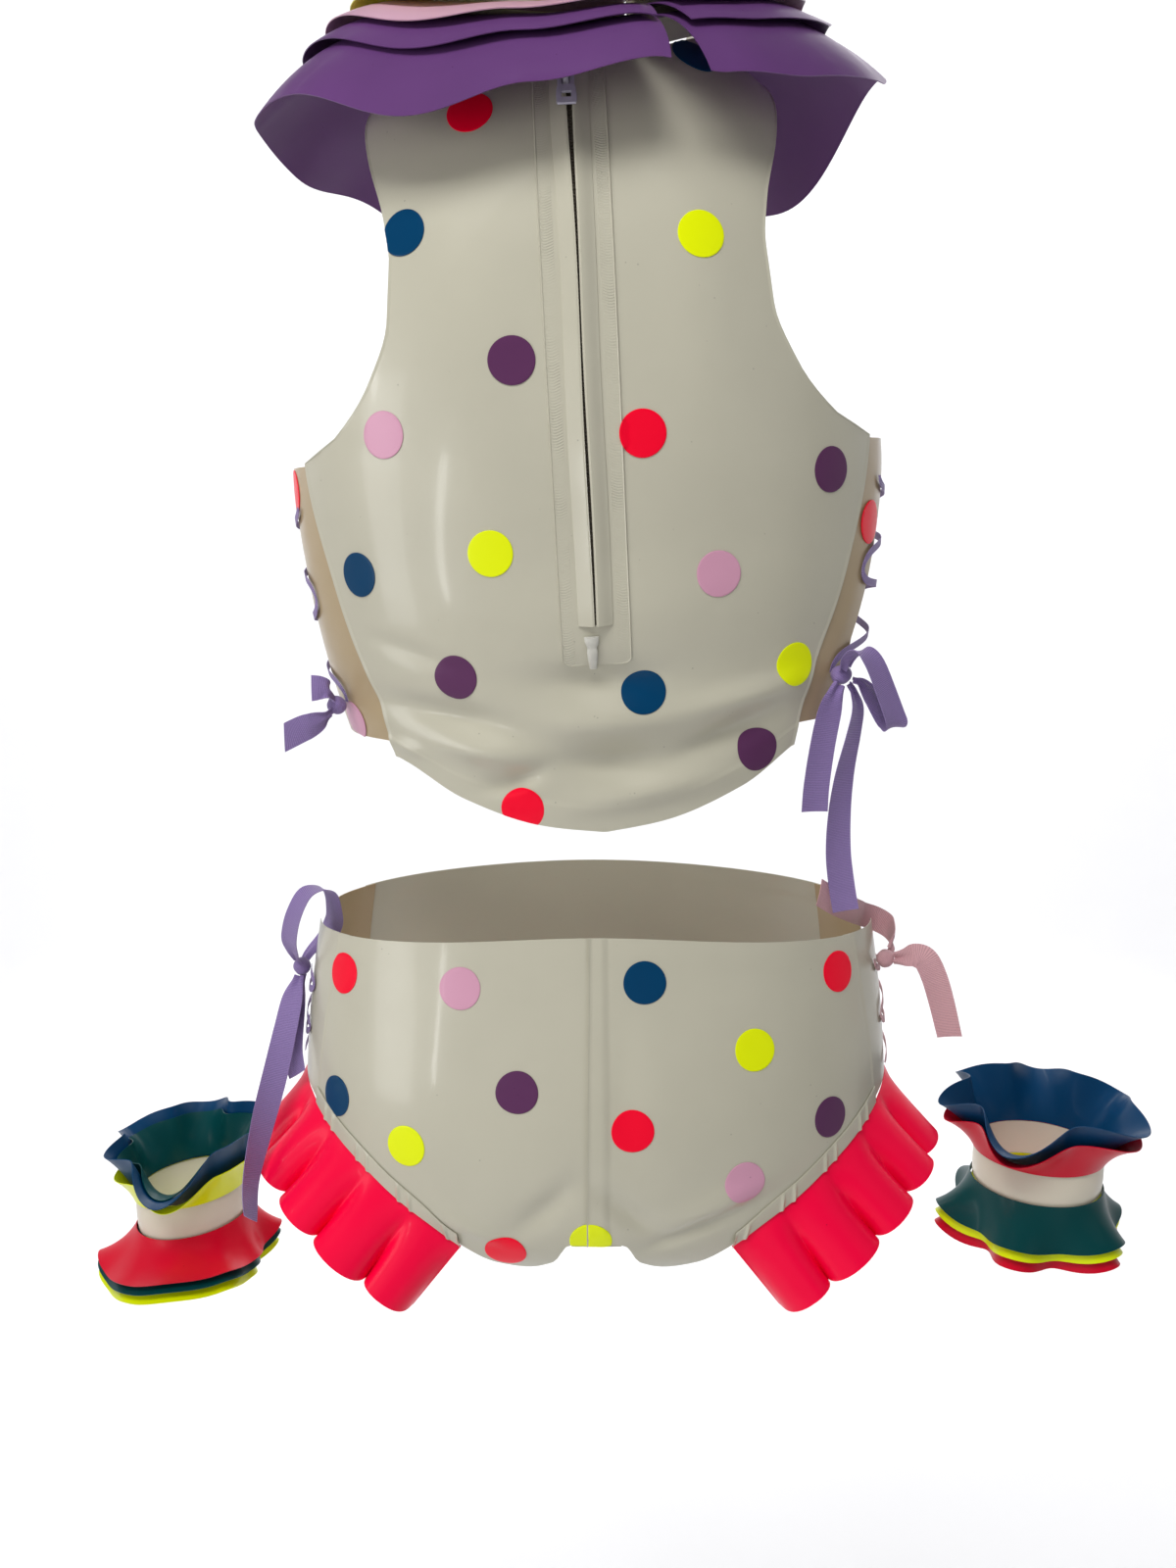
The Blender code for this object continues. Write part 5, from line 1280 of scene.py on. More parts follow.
    def build_slider(self) -> None:
        """Slider body: a lens-edged plate waisted in the middle, with the arch on top."""
        base, wide, up, out = self.slider_frame()
        parts = MeshParts()
        turn = turns(40)
        depth = np.array([0.0, 0.0004, 0.0010, 0.0020, 0.0026, self.plate])[:, None, None]
        size = np.array([0.93, 0.98, 1.0, 1.0, 0.97, 0.88])[:, None]
        c, s = np.cos(turn), np.sin(turn)
        waist = 1.0 - 0.14 * (1 - np.abs(s)) ** 2
        x = self.slider_half[0] * np.sign(c) * np.abs(c) ** self.slider_power * size * waist
        y = self.slider_half[1] * np.sign(s) * np.abs(s) ** self.slider_power * size
        rings = base + x[..., None] * wide + y[..., None] * up + depth * out
        add_rings(parts, rings, base, base + self.plate * out)
        angle = np.linspace(0.0, np.pi, 15)
        path = np.stack([-0.0040 * np.cos(angle), 0.0028 + 0.0034 * np.sin(angle) ** 0.6], axis=-1)
        slope = unit(np.gradient(path, axis=0))
        round_ = turns(12)[:, None]
        centre = base + path[:, :1] * up + path[:, 1:] * out
        side = slope[:, 1:] * up - slope[:, :1] * out
        half_wide, half_thick = self.arch_half
        add_rings(parts, centre[:, None, :] + half_wide * np.cos(round_) * wide
                  + half_thick * np.sin(round_) * side[:, None, :], centre[0], centre[-1])
        dress(parts.build("zip_slider_body"), Fitting.BODY, "zip_slider")

    def build_pull(self) -> None:
        """Pull tab: an eye, two prongs and a wedge with a slot, on the hinge's own frame."""
        base, wide, up, out = self.slider_frame()
        hinge = base + out * (self.plate + self.hinge_gap / 2.0)
        heights = np.array([0.0009, 0.0002, -0.0007, -0.0022, -0.0040, -0.0062, -0.0075, -0.0086,
                            -0.0105, -0.0126, -0.0138, -0.0149, -0.0163, -0.0175])
        half = np.interp(-heights, (0.0, 0.0062, 0.0086, 0.0126, 0.0163, 0.0175),
                         (0.0040, 0.0040, 0.0045, 0.0048, 0.0047, 0.0042))
        inner = np.where(heights > -0.0070, 0.0021, 0.0022)
        across = np.stack([-half, -(half + inner) / 2.0, -inner, inner, (half + inner) / 2.0, half])
        crown = np.array([-0.00018, 0.0, -0.00008, -0.00008, 0.0, -0.00018])[:, None, None]
        points = (hinge + across[..., None] * wide + heights[:, None] * up + (0.00062 + crown) * out)
        keep = np.ones((5, len(heights) - 1), dtype=bool)
        keep[2, 2:5] = keep[2, 8:10] = False       # between the prongs, and the slot
        parts = MeshParts()
        add_shell(parts, points, out, self.pull_thick, keep=keep)
        piece = parts.build("zip_pull_tab", sharp_deg=55.0)
        bevel = piece.modifiers.new("rounded edges", "BEVEL")
        bevel.width = 0.00025
        bevel.segments = 2
        bevel.limit_method = "ANGLE"
        dress(piece, Fitting.PULL, "zip_pull", body=Body.PULL)


# ---- ruff
@dataclass(frozen=True)
class RuffLayer:
    """One drooping layer: its height on the band, length factor, turn of waves and finish."""

    name: str
    start: float
    factor: float
    turn: float
    finish: Latex


@dataclass(frozen=True)
class Ruff:
    """Neck band with four drooping layers, open behind.

    Attributes:
        gap_beta: beta of the opening.
        gap_deg: half of the opening at the layers' edge, in degrees.
        root_gap: the same at the neck.
        band: height of the neck band.
        side: length of the longest layer at the shoulders.
        back: its length at the back.
        wave: height of its waves.
        root: from the neck edge out to the layers' root.
        seat: from the neck edge up to the band's foot.
        waves: (azimuth, rise) of the waves.
    """

    gap_beta: float = 26.0
    gap_deg: float = 4.0
    root_gap: float = 0.6
    band: float = 0.028
    side: float = 0.102
    back: float = 0.070
    wave: float = 0.012
    root: float = 0.0010
    seat: float = 0.0009
    columns: int = 260
    rows: int = 26
    waves: Table = ((8.0, 0.7), (30.0, -0.9), (52.0, 0.8), (75.0, -0.9), (98.0, 0.8),
                    (121.0, -0.9), (143.0, 0.8), (165.0, -0.6), (188.0, -0.4), (210.0, 0.1),
                    (234.0, -0.8), (262.0, 0.35), (288.0, 0.9), (304.0, 0.1), (322.0, -0.3),
                    (346.0, -0.4))
    layers: tuple[RuffLayer, ...] = (
        RuffLayer("ruff_layer_purple_long", 0.0120, 1.00, 0.0, Latex.RUFF_PURPLE),
        RuffLayer("ruff_layer_purple_short", 0.0172, 0.66, 3.0, Latex.RUFF_PURPLE),
        RuffLayer("ruff_layer_pink", 0.0222, 0.52, 6.0, Latex.RUFF_PINK),
        RuffLayer("ruff_layer_yellow", 0.0268, 0.38, 9.0, Latex.RUFF_YELLOW))

    def ring(self, azimuth: Array) -> tuple[Array, Array]:
        """Neck edge before the lean, and the way out from it."""
        return TORSO.section(azimuth, np.full_like(azimuth, NECK)), compass(azimuth)

    def layer_points(self, layer: RuffLayer, azimuth: Array, share: Array) -> Array:
        """Arc that leaves the band level and bends down, with waves that grow outwards."""
        ring, out = self.ring(azimuth)
        s = np.sin(np.radians(azimuth))
        backness = np.clip(-s, 0.0, 1.0) ** 1.5
        frontness = np.clip(s, 0.0, 1.0) ** 1.5
        full = self.side + (self.back - self.side) * np.maximum(backness, 0.8 * frontness)
        bend = np.radians(45.0 + 30.0 * backness + 10.0 * frontness)
        angle = bend * share * layer.factor
        run = np.sin(angle) * full / bend
        drop = (1.0 - np.cos(angle)) * full / bend
        wave = self.wave * (share * layer.factor) ** 1.3
        wave = wave * round_table(self.waves, azimuth + layer.turn)
        points = ring + out * (run + self.root)[..., None]
        points[..., 2] = points[..., 2] + layer.start - drop + wave + FRILL_WALL / 2.0
        return TORSO.tilt(points)

    def build(self) -> None:
        """Makes the band and the layers."""
        around = np.linspace(0.0, 1.0, self.columns + 1)[:, None]
        height = grow(8)
        azimuth = BACK + self.gap_beta + 0.5 + 359.0 * around + 0.0 * height
        ring, out = self.ring(azimuth)
        ring[..., 2] = ring[..., 2] + self.seat + self.band * height
        band = TORSO.tilt(ring)
        make_sheet("ruff_neck_band", Latex.CREAM, band, grid_normals(band, out),
                   "ruff_band", wall=LATEX * 1.6)
        share = grow(self.rows + 1)
        for layer in self.layers:
            part = self.root_gap + (self.gap_deg - self.root_gap) * share
            azimuth = BACK + self.gap_beta + part + (360.0 - 2.0 * part) * around
            points = self.layer_points(layer, azimuth, share)
            make_sheet(f"{layer.name}_sheet", layer.finish, points,
                       grid_normals(points, UP), layer.name, held=Hold.GATHERED)


# ---- briefs
@dataclass(frozen=True)
class Briefs:
    """Briefs: two back halves lapped in the middle, front, strips, gusset, casings, frills.

    Attributes:
        leg_back: (beta, level) of the back's leg edge.
        leg_front: the same for the front.
        seam_beta: beta of the lapped seam's edge.
        lap: beta where the lower half's edge shows through.
        casing_end: beta where the frill's casing ends behind.
        facing: depth of the turned waist.
        gusset_back: half width of the gusset in degrees, and its level, at the back.
        gusset_front: the same at the front.
        gusset_pull: how far the gusset's curve is drawn down at both ends.
        gusset_drop: how far it hangs under the panels.
        casing_width: width of the casing.
        ridge: height of the ridges that the pleats make in it.
        lobes: box pleats in a frill.
        lobe_height: how far a pleat stands up at the hem.
        lobe_swell: how far it swells to both sides there.
        flare_deg: how far a frill stands off the leg.
    """

    leg_back: ClassVar[Table] = (
        (0.0, 3.75), (7.0, 3.75), (12.0, 3.20), (20.0, 2.95), (27.5, 3.10), (33.5, 3.55),
        (40.0, 4.10), (46.0, 4.47), (58.0, 5.12), (73.0, 5.65), (90.0, 5.90))
    leg_front: ClassVar[Table] = (
        (90.0, 5.90), (108.0, 5.50), (120.0, 4.90), (135.0, 4.10), (150.0, 3.30), (162.0, 2.70),
        (180.0, 2.70))
    seam_beta: float = -2.5
    lap: float = 2.6
    casing_end: float = 34.0
    facing: float = 0.0125
    rows: int = 56
    gusset_back: tuple[float, float] = (6.5, 3.75)
    gusset_front: tuple[float, float] = (18.0, 2.70)
    gusset_pull: float = 0.046
    gusset_drop: float = 0.0007
    casing_width: float = 0.0095
    ridge: float = 0.0011
    lobes: int = 5
    frill_length: float = 0.046
    lobe_height: float = 0.018
    lobe_swell: float = 0.0048
    flare_deg: float = 20.0

    def grid(self, betas: Array, table: Table) -> tuple[Array, Array]:
        """Beta and level of a panel from its leg edge to the waist."""
        foot = smooth_table(table, np.minimum(np.abs(betas), 360.0 - np.abs(betas)))[:, None]
        level = foot + (WAIST - foot) * grow(self.rows)
        return np.broadcast_to(betas[:, None], level.shape), level

    def height(self, beta: Array, level: Array) -> Array:
        """Height of the laps over the form, for what lies on them."""
        lap = step_up(beta, self.seam_beta, self.seam_beta + 0.6) * (1.0 - step_up(
            beta, self.lap - 0.3, self.lap + 0.3))
        return LATEX * lap + self.waist_lift(level) + LIFT * (beta > 0.0)

    def waist_lift(self, level: Array) -> Array:
        """Rise of the turned waist edge."""
        foot = WAIST - self.facing / WAIST_LEVEL
        return LATEX * 0.5 * step_up(level, foot - 0.02, foot + 0.02)

    def build(self) -> None:
        """Makes every piece of the briefs."""
        side = HIP_STRIP_IN - SEAM_DEG
        over = np.concatenate([self.seam_beta + np.array([0.0, 0.15, 0.35, 0.55]),
                               [-1.0, 1.0, self.lap - 0.25, self.lap + 0.25],
                               np.linspace(4.0, 68.8, 50), side * SIDE_EDGE])
        beta, level = self.grid(over, self.leg_back)
        lift = LATEX * (1.0 - step_up(beta, self.lap - 0.3, self.lap + 0.3)) + LIFT
        lift = lift + SIDE_LIP * (1.0 - step_up(beta, self.seam_beta + 0.2, self.seam_beta + 0.5))
        HIPS.sheet("briefs_back_half_right", Latex.CREAM, beta, level,
                   lift + self.waist_lift(level) + side_lip(over / side), "briefs_back_right")
        under = np.concatenate([-side * SIDE_EDGE[::-1], np.linspace(-68.8, -4.0, 50),
                                [self.seam_beta - 0.1, self.seam_beta + 0.3, 0.0, self.lap]])
        beta, level = self.grid(under, self.leg_back)
        lift = -(LATEX * 0.6) * step_up(beta, self.seam_beta - 0.2, self.seam_beta + 0.2)
        lift = lift + self.waist_lift(level) * (beta < self.seam_beta) + side_lip(under / side)
        HIPS.sheet("briefs_back_half_left", Latex.CREAM, beta, level, lift, "briefs_back_left")
        beta, level = self.grid(np.linspace(FRONT_SEAM + SEAM_DEG, 360.0 - FRONT_SEAM - SEAM_DEG,
                                            90), self.leg_front)
        HIPS.sheet("briefs_front_panel", Latex.CREAM, beta, level, self.waist_lift(level), "briefs_front")
        self.strips()
        self.gusset()
        for side, name in SIDES:
            self.frill(side, name, self.casing(side, name))

    def strips(self) -> None:
        """Lacing strips, lapped under the panels' side edges."""
        for side, name in SIDES:
            for place, seam, edge, table in (
                    ("back", HIP_STRIP_IN, HIP_STRIP_OUT, self.leg_back),
                    ("front", FRONT_SEAM, FRONT_EDGE, self.leg_front)):
                beta, level = self.grid((seam + (edge - seam) * STRIP_SHARES)[:, 0], table)
                HIPS.sheet(f"briefs_lacing_strip_{place}_{name}",
                           Latex.CREAM if place == "back" else Latex.TAN, side * beta, level,
                           STRIP_LIFT, f"briefs_strip_{place}_{name}")

    def gusset(self) -> None:
        """Crotch piece: a cubic spine from the back's lower edge to the front's, with the two
        edges faded along it and a little extra width in the middle."""
        count = 25
        across = np.linspace(-1.0, 1.0, count)
        back = HIPS.face(across * self.gusset_back[0], self.gusset_back[1])
        front = HIPS.face(180.0 - across * self.gusset_front[0], self.gusset_front[1])
        middle_back, middle_front = back[count // 2], front[count // 2]
        t = np.linspace(0.0, 1.0, 41)[None, :, None]
        pull_back = middle_back + np.array([0.0, 0.90, -0.45]) * self.gusset_pull
        pull_front = middle_front + np.array([0.0, -0.25, -1.0]) * self.gusset_pull
        spine = ((1 - t) ** 3 * middle_back + 3 * (1 - t) ** 2 * t * pull_back
                 + 3 * (1 - t) * t ** 2 * pull_front + t ** 3 * middle_front)
        edge = ((back - middle_back)[:, None, :] * (1 - t) ** 2
                + (front - middle_front)[:, None, :] * t ** 2)
        wider = across[:, None, None] * 0.020 * np.array([1.0, 0.0, 0.0]) * t * (1 - t)
        points = spine + edge + wider - self.gusset_drop * UP
        make_sheet("briefs_gusset_sheet", Latex.CREAM, points, grid_normals(points, -UP), "briefs_gusset")

    def casing(self, side: int, name: str) -> Piece:
        """Strip glued over the frill's root, raised in two ridges at each pleat."""
        betas = np.linspace(self.casing_end, HIP_STRIP_IN - SEAM_DEG, 150)
        foot = smooth_table(self.leg_back, betas)[:, None]
        wide = np.array([0.0, 0.02, 0.2, 0.45, 0.7, 0.93, 1.0])[None, :]
        per_level = np.linalg.norm(HIPS.face(betas, foot[:, 0] + 0.1)
                                   - HIPS.face(betas, foot[:, 0]), axis=-1)[:, None] / 0.1
        level = foot + wide * self.casing_width / per_level
        place = (betas - self.casing_end) / (HIP_STRIP_OUT - 1.0 - self.casing_end) * self.lobes
        ridges = bell(np.mod(place + 0.13, 1.0), 0.13, 0.035) + bell(
            np.mod(place - 0.13, 1.0), 0.13, 0.035)
        lift = (LIFT + LATEX * 1.8 * (1.0 - 0.2 * step_up(wide, 0.9, 1.0))
                + self.ridge * ridges[:, None] * (1.0 - step_up(wide, 0.75, 1.0)))
        return HIPS.sheet(f"frill_casing_strip_{name}", Latex.CREAM, side * betas[:, None], level,
                          lift, f"frill_casing_{name}", wall=LATEX * 0.7, held=None)

    def frill(self, side: int, name: str, casing: Piece) -> None:
        """Box-pleated frill on the leg edge: rounded crowns that swell towards the hem."""
        count = self.lobes * 36 + 1
        beta = np.linspace(self.casing_end, HIP_STRIP_OUT - 1.0, count)
        level = smooth_table(self.leg_back, beta)
        root = HIPS.face(side * beta, level)
        out = HIPS.normal(side * beta, level)
        along = unit(np.gradient(root, axis=0))
        across = unit(np.cross(along, out))
        down = np.where(across[:, 2:3] > 0.0, -across, across)
        place = np.linspace(0.0, self.lobes, count)
        crown = ((np.sin(np.pi * place) ** 2 + 0.03) / 1.03) ** 0.45 - 0.20
        sway = np.sin(2.0 * np.pi * place)
        flare = math.radians(self.flare_deg)
        hang = down * math.cos(flare) + out * math.sin(flare)
        face = out * math.cos(flare) - down * math.sin(flare)
        share = np.linspace(0.0, 1.0, 22)[None, :, None]
        root = root + down * 0.0008
        grid = (root[:, None] + share * self.frill_length * hang[:, None]
                + share * (self.lobe_height * crown)[:, None, None] * face[:, None]
                - share * (self.lobe_swell * sway)[:, None, None] * along[:, None])
        make_sheet(f"leg_frill_{name}", Latex.FRILL_RED, grid,
                   grid_normals(grid, out[:, None]), f"frill_{name}",
                   held=Hold.GATHERED, trims=(casing,), sharp_deg=60.0)


# ---- cuffs
@dataclass(frozen=True)
class Cuff:
    """Wrist cuff: a band, frills flaring up and frills flaring down.

    Attributes:
        name: left or right.
        centre: middle of the band.
        half: half widths of the wrist along X and Y.
        tilt_deg: tilt of the cuff.
        up: (azimuth, flare in degrees) of the upper frills.
        down: the same for the lower frills.
        up_layers: (colour, length, layer) of the upper frills.
        down_layers: the same for the lower frills.
        band: height of the band.
        bulge: how far its middle stands out.
        layer_step: from one layer of frills to the next.
        gap: from the band's edge to the frills' root.
    """

    name: str
    centre: Triple
    half: tuple[float, float]
    tilt_deg: float
    up: Table
    down: Table
    up_layers: tuple[tuple[str, float, int], ...]
    down_layers: tuple[tuple[str, float, int], ...]
    band: float = 0.022
    bulge: float = 0.0007
    layer_step: float = 0.0017
    gap: float = 0.0004
    columns: int = 180

    def ring(self, azimuth: Array, outward: Array, rise: Array) -> Array:
        """Points round the wrist, moved out and up, with the cuff's tilt."""
        c, s = np.cos(np.radians(azimuth)), np.sin(np.radians(azimuth))
        x = (self.half[0] + outward) * c
        y = (self.half[1] + outward) * s
        z = rise + math.tan(math.radians(self.tilt_deg)) * x
        return np.stack(np.broadcast_arrays(x, y, z), axis=-1) + np.array(self.centre)

    def build(self) -> None:
        """Makes the band and every frill."""
        finishes = {"red": Latex.CUFF_RED, "blue": Latex.BLUE, "green": Latex.GREEN,
                    "yellow": Latex.YELLOW}
        azimuth = np.linspace(0.0, 360.0, self.columns, endpoint=False)[:, None]
        rise = np.linspace(-0.5, 0.5, 9)[None, :]
        band = self.ring(azimuth, self.bulge * (1.0 - (2.0 * rise) ** 2), rise * self.band)
        outward = (band - np.array(self.centre)) * (1.0, 1.0, 0.0)
        make_sheet(f"cuff_band_sheet_{self.name}", Latex.CUFF_CREAM_PAINTED_LIGHT, band,
                   grid_normals(band, outward, closed=True), f"cuff_band_{self.name}", closed=True)
        share = grow(16)
        for way, place, table, layers in ((1, "up", self.up, self.up_layers),
                                          (-1, "down", self.down, self.down_layers)):
            for colour, length, step in layers:
                flare = round_table(table, azimuth) + 4.0 * step
                angle = np.radians(flare) * (0.55 + 0.45 * share)
                run = step * self.layer_step + share * length * np.sin(angle)
                up = (self.band / 2.0 + self.gap - step * self.layer_step
                      + share * length * np.cos(angle))
                points = self.ring(azimuth, run, way * up)
                label = f"{self.name}_{place}_{colour}"
                make_sheet(f"cuff_frill_{label}", finishes[colour], points,
                           grid_normals(points, outward[:, :1], closed=True), f"cuff_{label}",
                           held=Hold.GATHERED, closed=True)


# ---- ribbons
@dataclass(frozen=True)
class Lacing:
    """Ribbon drawn to and fro across an open side between the places of its holes, and its knot.

    Attributes:
        garment: top or briefs.
        side: -1 towards -X and +1 towards +X.
        first: level of the first hole.
        last: level of the knot.
        beyond: share of a crossing that the knot lies beyond its hole.
        finish: the ribbon's finish.
        crossings: how often the ribbon crosses the opening.
        width: the ribbon's width, drawn together.
        hold: how sharply it turns back at a hole.
        hole_share: share of a strip's width from its edge to a hole.
        knot_lift: from the cloth to the knot's middle.
        knot_half: half width, depth and height of the knot.
    """

    garment: str
    side: int
    first: float
    last: float
    beyond: float
    finish: Ribbon
    crossings: int = 4
    width: float = 0.0040
    hold: float = 2.0
    hole_share: float = 0.45
    knot_lift: float = 0.0070
    knot_half: Triple = (0.0062, 0.0048, 0.0050)

    @property
    def form(self) -> BodyForm:
        """Form that the lacing lies on."""
        return TORSO if self.garment == "top" else HIPS

    @property
    def label(self) -> str:
        """Name of the open side."""
        return f"{self.garment}_{'left' if self.side < 0 else 'right'}"

    def bounds(self, level: Array) -> tuple[Array | float, float]:
        """Beta of the holes behind and before the open side."""
        edge, seam = HIP_STRIP_OUT, HIP_STRIP_IN
        if self.garment == "top":
            edge = smooth_table(STRIP_EDGE[self.side], level)
            seam = smooth_table(STRIP_SEAM[self.side], level)
        before = FRONT_EDGE + self.hole_share * (FRONT_SEAM - FRONT_EDGE)
        return edge - self.hole_share * (edge - seam), before

    def build(self) -> None:
        """Makes the ribbon and the knot."""
        t = np.linspace(0.0, 1.0, 40 * self.crossings + 1)
        level = self.first + (self.last - self.first) * t
        behind, before = self.bounds(level)
        phase = self.crossings * (t - 1.0) + self.beyond
        swing = np.tanh(self.hold * np.cos(np.pi * phase)) / math.tanh(self.hold)
        beta = self.side * ((before + behind) / 2.0 - (before - behind) / 2.0 * swing)
        out = self.form.normal(beta, level)
        turned = np.abs(np.cos(np.pi * phase)) ** 6
        middle = self.form.face(beta, level) + (0.0011 + 0.0007 * (1.0 - turned))[:, None] * out
        along = unit(np.gradient(middle, axis=0))
        across = unit(np.cross(out, along))
        shares = np.linspace(-0.5, 0.5, 7)[:, None]
        width = self.width * (1.0 - 0.25 * turned)
        grid = middle + (shares * width)[..., None] * across
        make_sheet(f"{self.label}_lacing_ribbon", self.finish, grid, out, f"{self.label}_lacing",
                   wall=RIBBON_THICK, held=None, uv=ribbon_uv(grid, width))
        self.knot(self.form.face(beta[-1], level[-1]) + self.knot_lift * out[-1], out[-1])

    def knot(self, centre: Array, out: Array) -> None:
        """Knot: a flattened ball with slanted wraps of ribbon round it."""
        wide = unit(np.cross(UP, out))
        turned = unit(np.cross(out, wide))
        half_wide, half_deep, half_tall = self.knot_half
        a, h = np.meshgrid(np.linspace(0.0, 2.0 * np.pi, 49),
                           np.linspace(-0.48 * np.pi, 0.48 * np.pi, 30))
        uv = np.stack([a * 0.005, h * 0.005 + a * 0.0034], axis=-1)
        a, h = a[:, :-1], h[:, :-1]
        wrap = 0.10 * np.abs(np.sin(1.5 * h + a)) ** 0.6 - 0.06
        local = np.stack([np.cos(h) * np.cos(a) * half_wide, np.cos(h) * np.sin(a) * half_deep,
                          np.sin(h) * half_tall], axis=-1) * (1.0 + wrap * np.cos(h))[..., None]
        parts = MeshParts()
        add_rings(parts, centre + local @ np.stack([wide, out, turned]),
                  centre - half_tall * turned, centre + half_tall * turned, uv=uv)
        dress(parts.build(f"{self.label}_ribbon_knot"), self.finish, f"{self.label}_knot")


def ribbon_uv(grid: Array, width: Array) -> Array:
    """UV of a ribbon in metres: across it, and along it."""
    shares = np.linspace(-0.5, 0.5, len(grid))[:, None]
    length = lengths_along(grid[len(grid) // 2])
    return np.stack(np.broadcast_arrays(shares * width, length), axis=-1)


@dataclass(frozen=True)
class FreeRibbon:
    """Free end or bow loop of a ribbon.

    Attributes:
        name: the piece's name, which is also its CAD node's.
        finish: the ribbon's finish.
        tied: 1 when one end is in a knot, 2 when both are.
        route: points given along the middle.
        across_start: which way the width lies at the start.
        across_end: which way it lies at the end.
        slant: how far the cut end slants, as a share of the width.
        width: the ribbon's full width.
        neck: share of it that is left where the ribbon leaves its knot.
        neck_run: how far the gathers reach from the knot.
        cord_length: not used.
    """

    name: str
    finish: Ribbon
    tied: int
    route: Table
    across_start: Triple
    across_end: Triple
    slant: float = 0.0
    width: float = 0.014
    neck: float = 0.45
    neck_run: float = 0.009
    cord_length: float = 0.084

    def build(self) -> None:
        """Makes the ribbon: a strip along the route, gathered in pleats at its knot."""
        samples = 90
        line = curve_through(self.route, samples)
        along = unit(np.gradient(line, axis=0))
        t = np.linspace(0.0, 1.0, samples)[:, None]
        hint = ((1.0 - t) * unit(np.array(self.across_start, float))
                + t * unit(np.array(self.across_end, float)))
        across = unit(hint - along * np.sum(hint * along, axis=-1, keepdims=True))
        out = unit(np.cross(across, along))
        length = float(lengths_along(line)[-1])
        run = t[:, 0] * length
        gathered = bell(run, 0.0, self.neck_run)
        if self.tied == 2:
            gathered = gathered + bell(run, length, self.neck_run)
        width = self.width * (1.0 - (1.0 - self.neck) * gathered)
        shares = np.linspace(-0.5, 0.5, 13)[:, None]
        pleat = 0.0011 * gathered * np.cos(3.0 * np.pi * shares)
        curl = -0.0006 * (1.0 - gathered) * (2.0 * shares) ** 2
        grid = (line + (shares * width)[..., None] * across
                + (pleat + curl + 0.0002)[..., None] * out)
        if self.slant:
            fade = np.clip((run - (length - 0.010)) / 0.010, 0.0, 1.0)
            grid = grid + (self.slant * self.width * shares * fade)[..., None] * along
        piece = make_sheet(f"{self.name}_ribbon", self.finish, grid,
                           grid_normals(grid, out), self.name, wall=RIBBON_THICK,
                           held=None, uv=ribbon_uv(grid, width))


LEFT_CUFF = Cuff(
    "left", (-0.2445, 0.000, -0.6215), (0.033, 0.030), 7.0,
    up=((270, 64), (236, 18), (205, 28), (180, 12), (150, 42), (120, 16), (92, 44), (60, 6),
        (34, 34), (4, 48), (334, 18), (308, 20)),
    down=((270, 58), (240, 50), (214, 44), (190, 54), (160, 14), (130, 46), (100, 14), (70, 46),
          (42, 14), (18, 36), (356, 14), (330, 30), (300, 50)),
    up_layers=(("yellow", 0.020, 1), ("blue", 0.036, 0), ("green", 0.028, -1)),
    down_layers=(("red", 0.028, 1), ("green", 0.032, 0), ("yellow", 0.036, -1)))
RIGHT_CUFF = Cuff(
    "right", (0.2765, 0.000, -0.5985), (0.038, 0.034), -2.0,
    up=((236, 58), (206, 18), (180, 44), (152, 10), (126, 44), (100, 14), (74, 46), (46, 16),
        (20, 40), (356, 26), (326, 44), (278, 16)),
    down=((238, 28), (208, 5), (180, 44), (150, 14), (120, 42), (92, 14), (64, 42), (36, 14),
          (10, 36), (344, 14), (312, 36), (272, 5)),
    up_layers=(("red", 0.026, 1), ("blue", 0.036, 0)),
    down_layers=(("green", 0.028, 1), ("yellow", 0.0325, 0), ("red", 0.038, -1)))

LACINGS = (
    Lacing("top", -1, 3.64, 1.76, 0.12, Ribbon.PURPLE),
    Lacing("top", 1, 3.67, 1.86, 0.10, Ribbon.PURPLE),
    Lacing("briefs", -1, 6.00, 7.24, 0.42, Ribbon.PURPLE),
    Lacing("briefs", 1, 5.95, 7.50, 0.12, Ribbon.PINK),
)

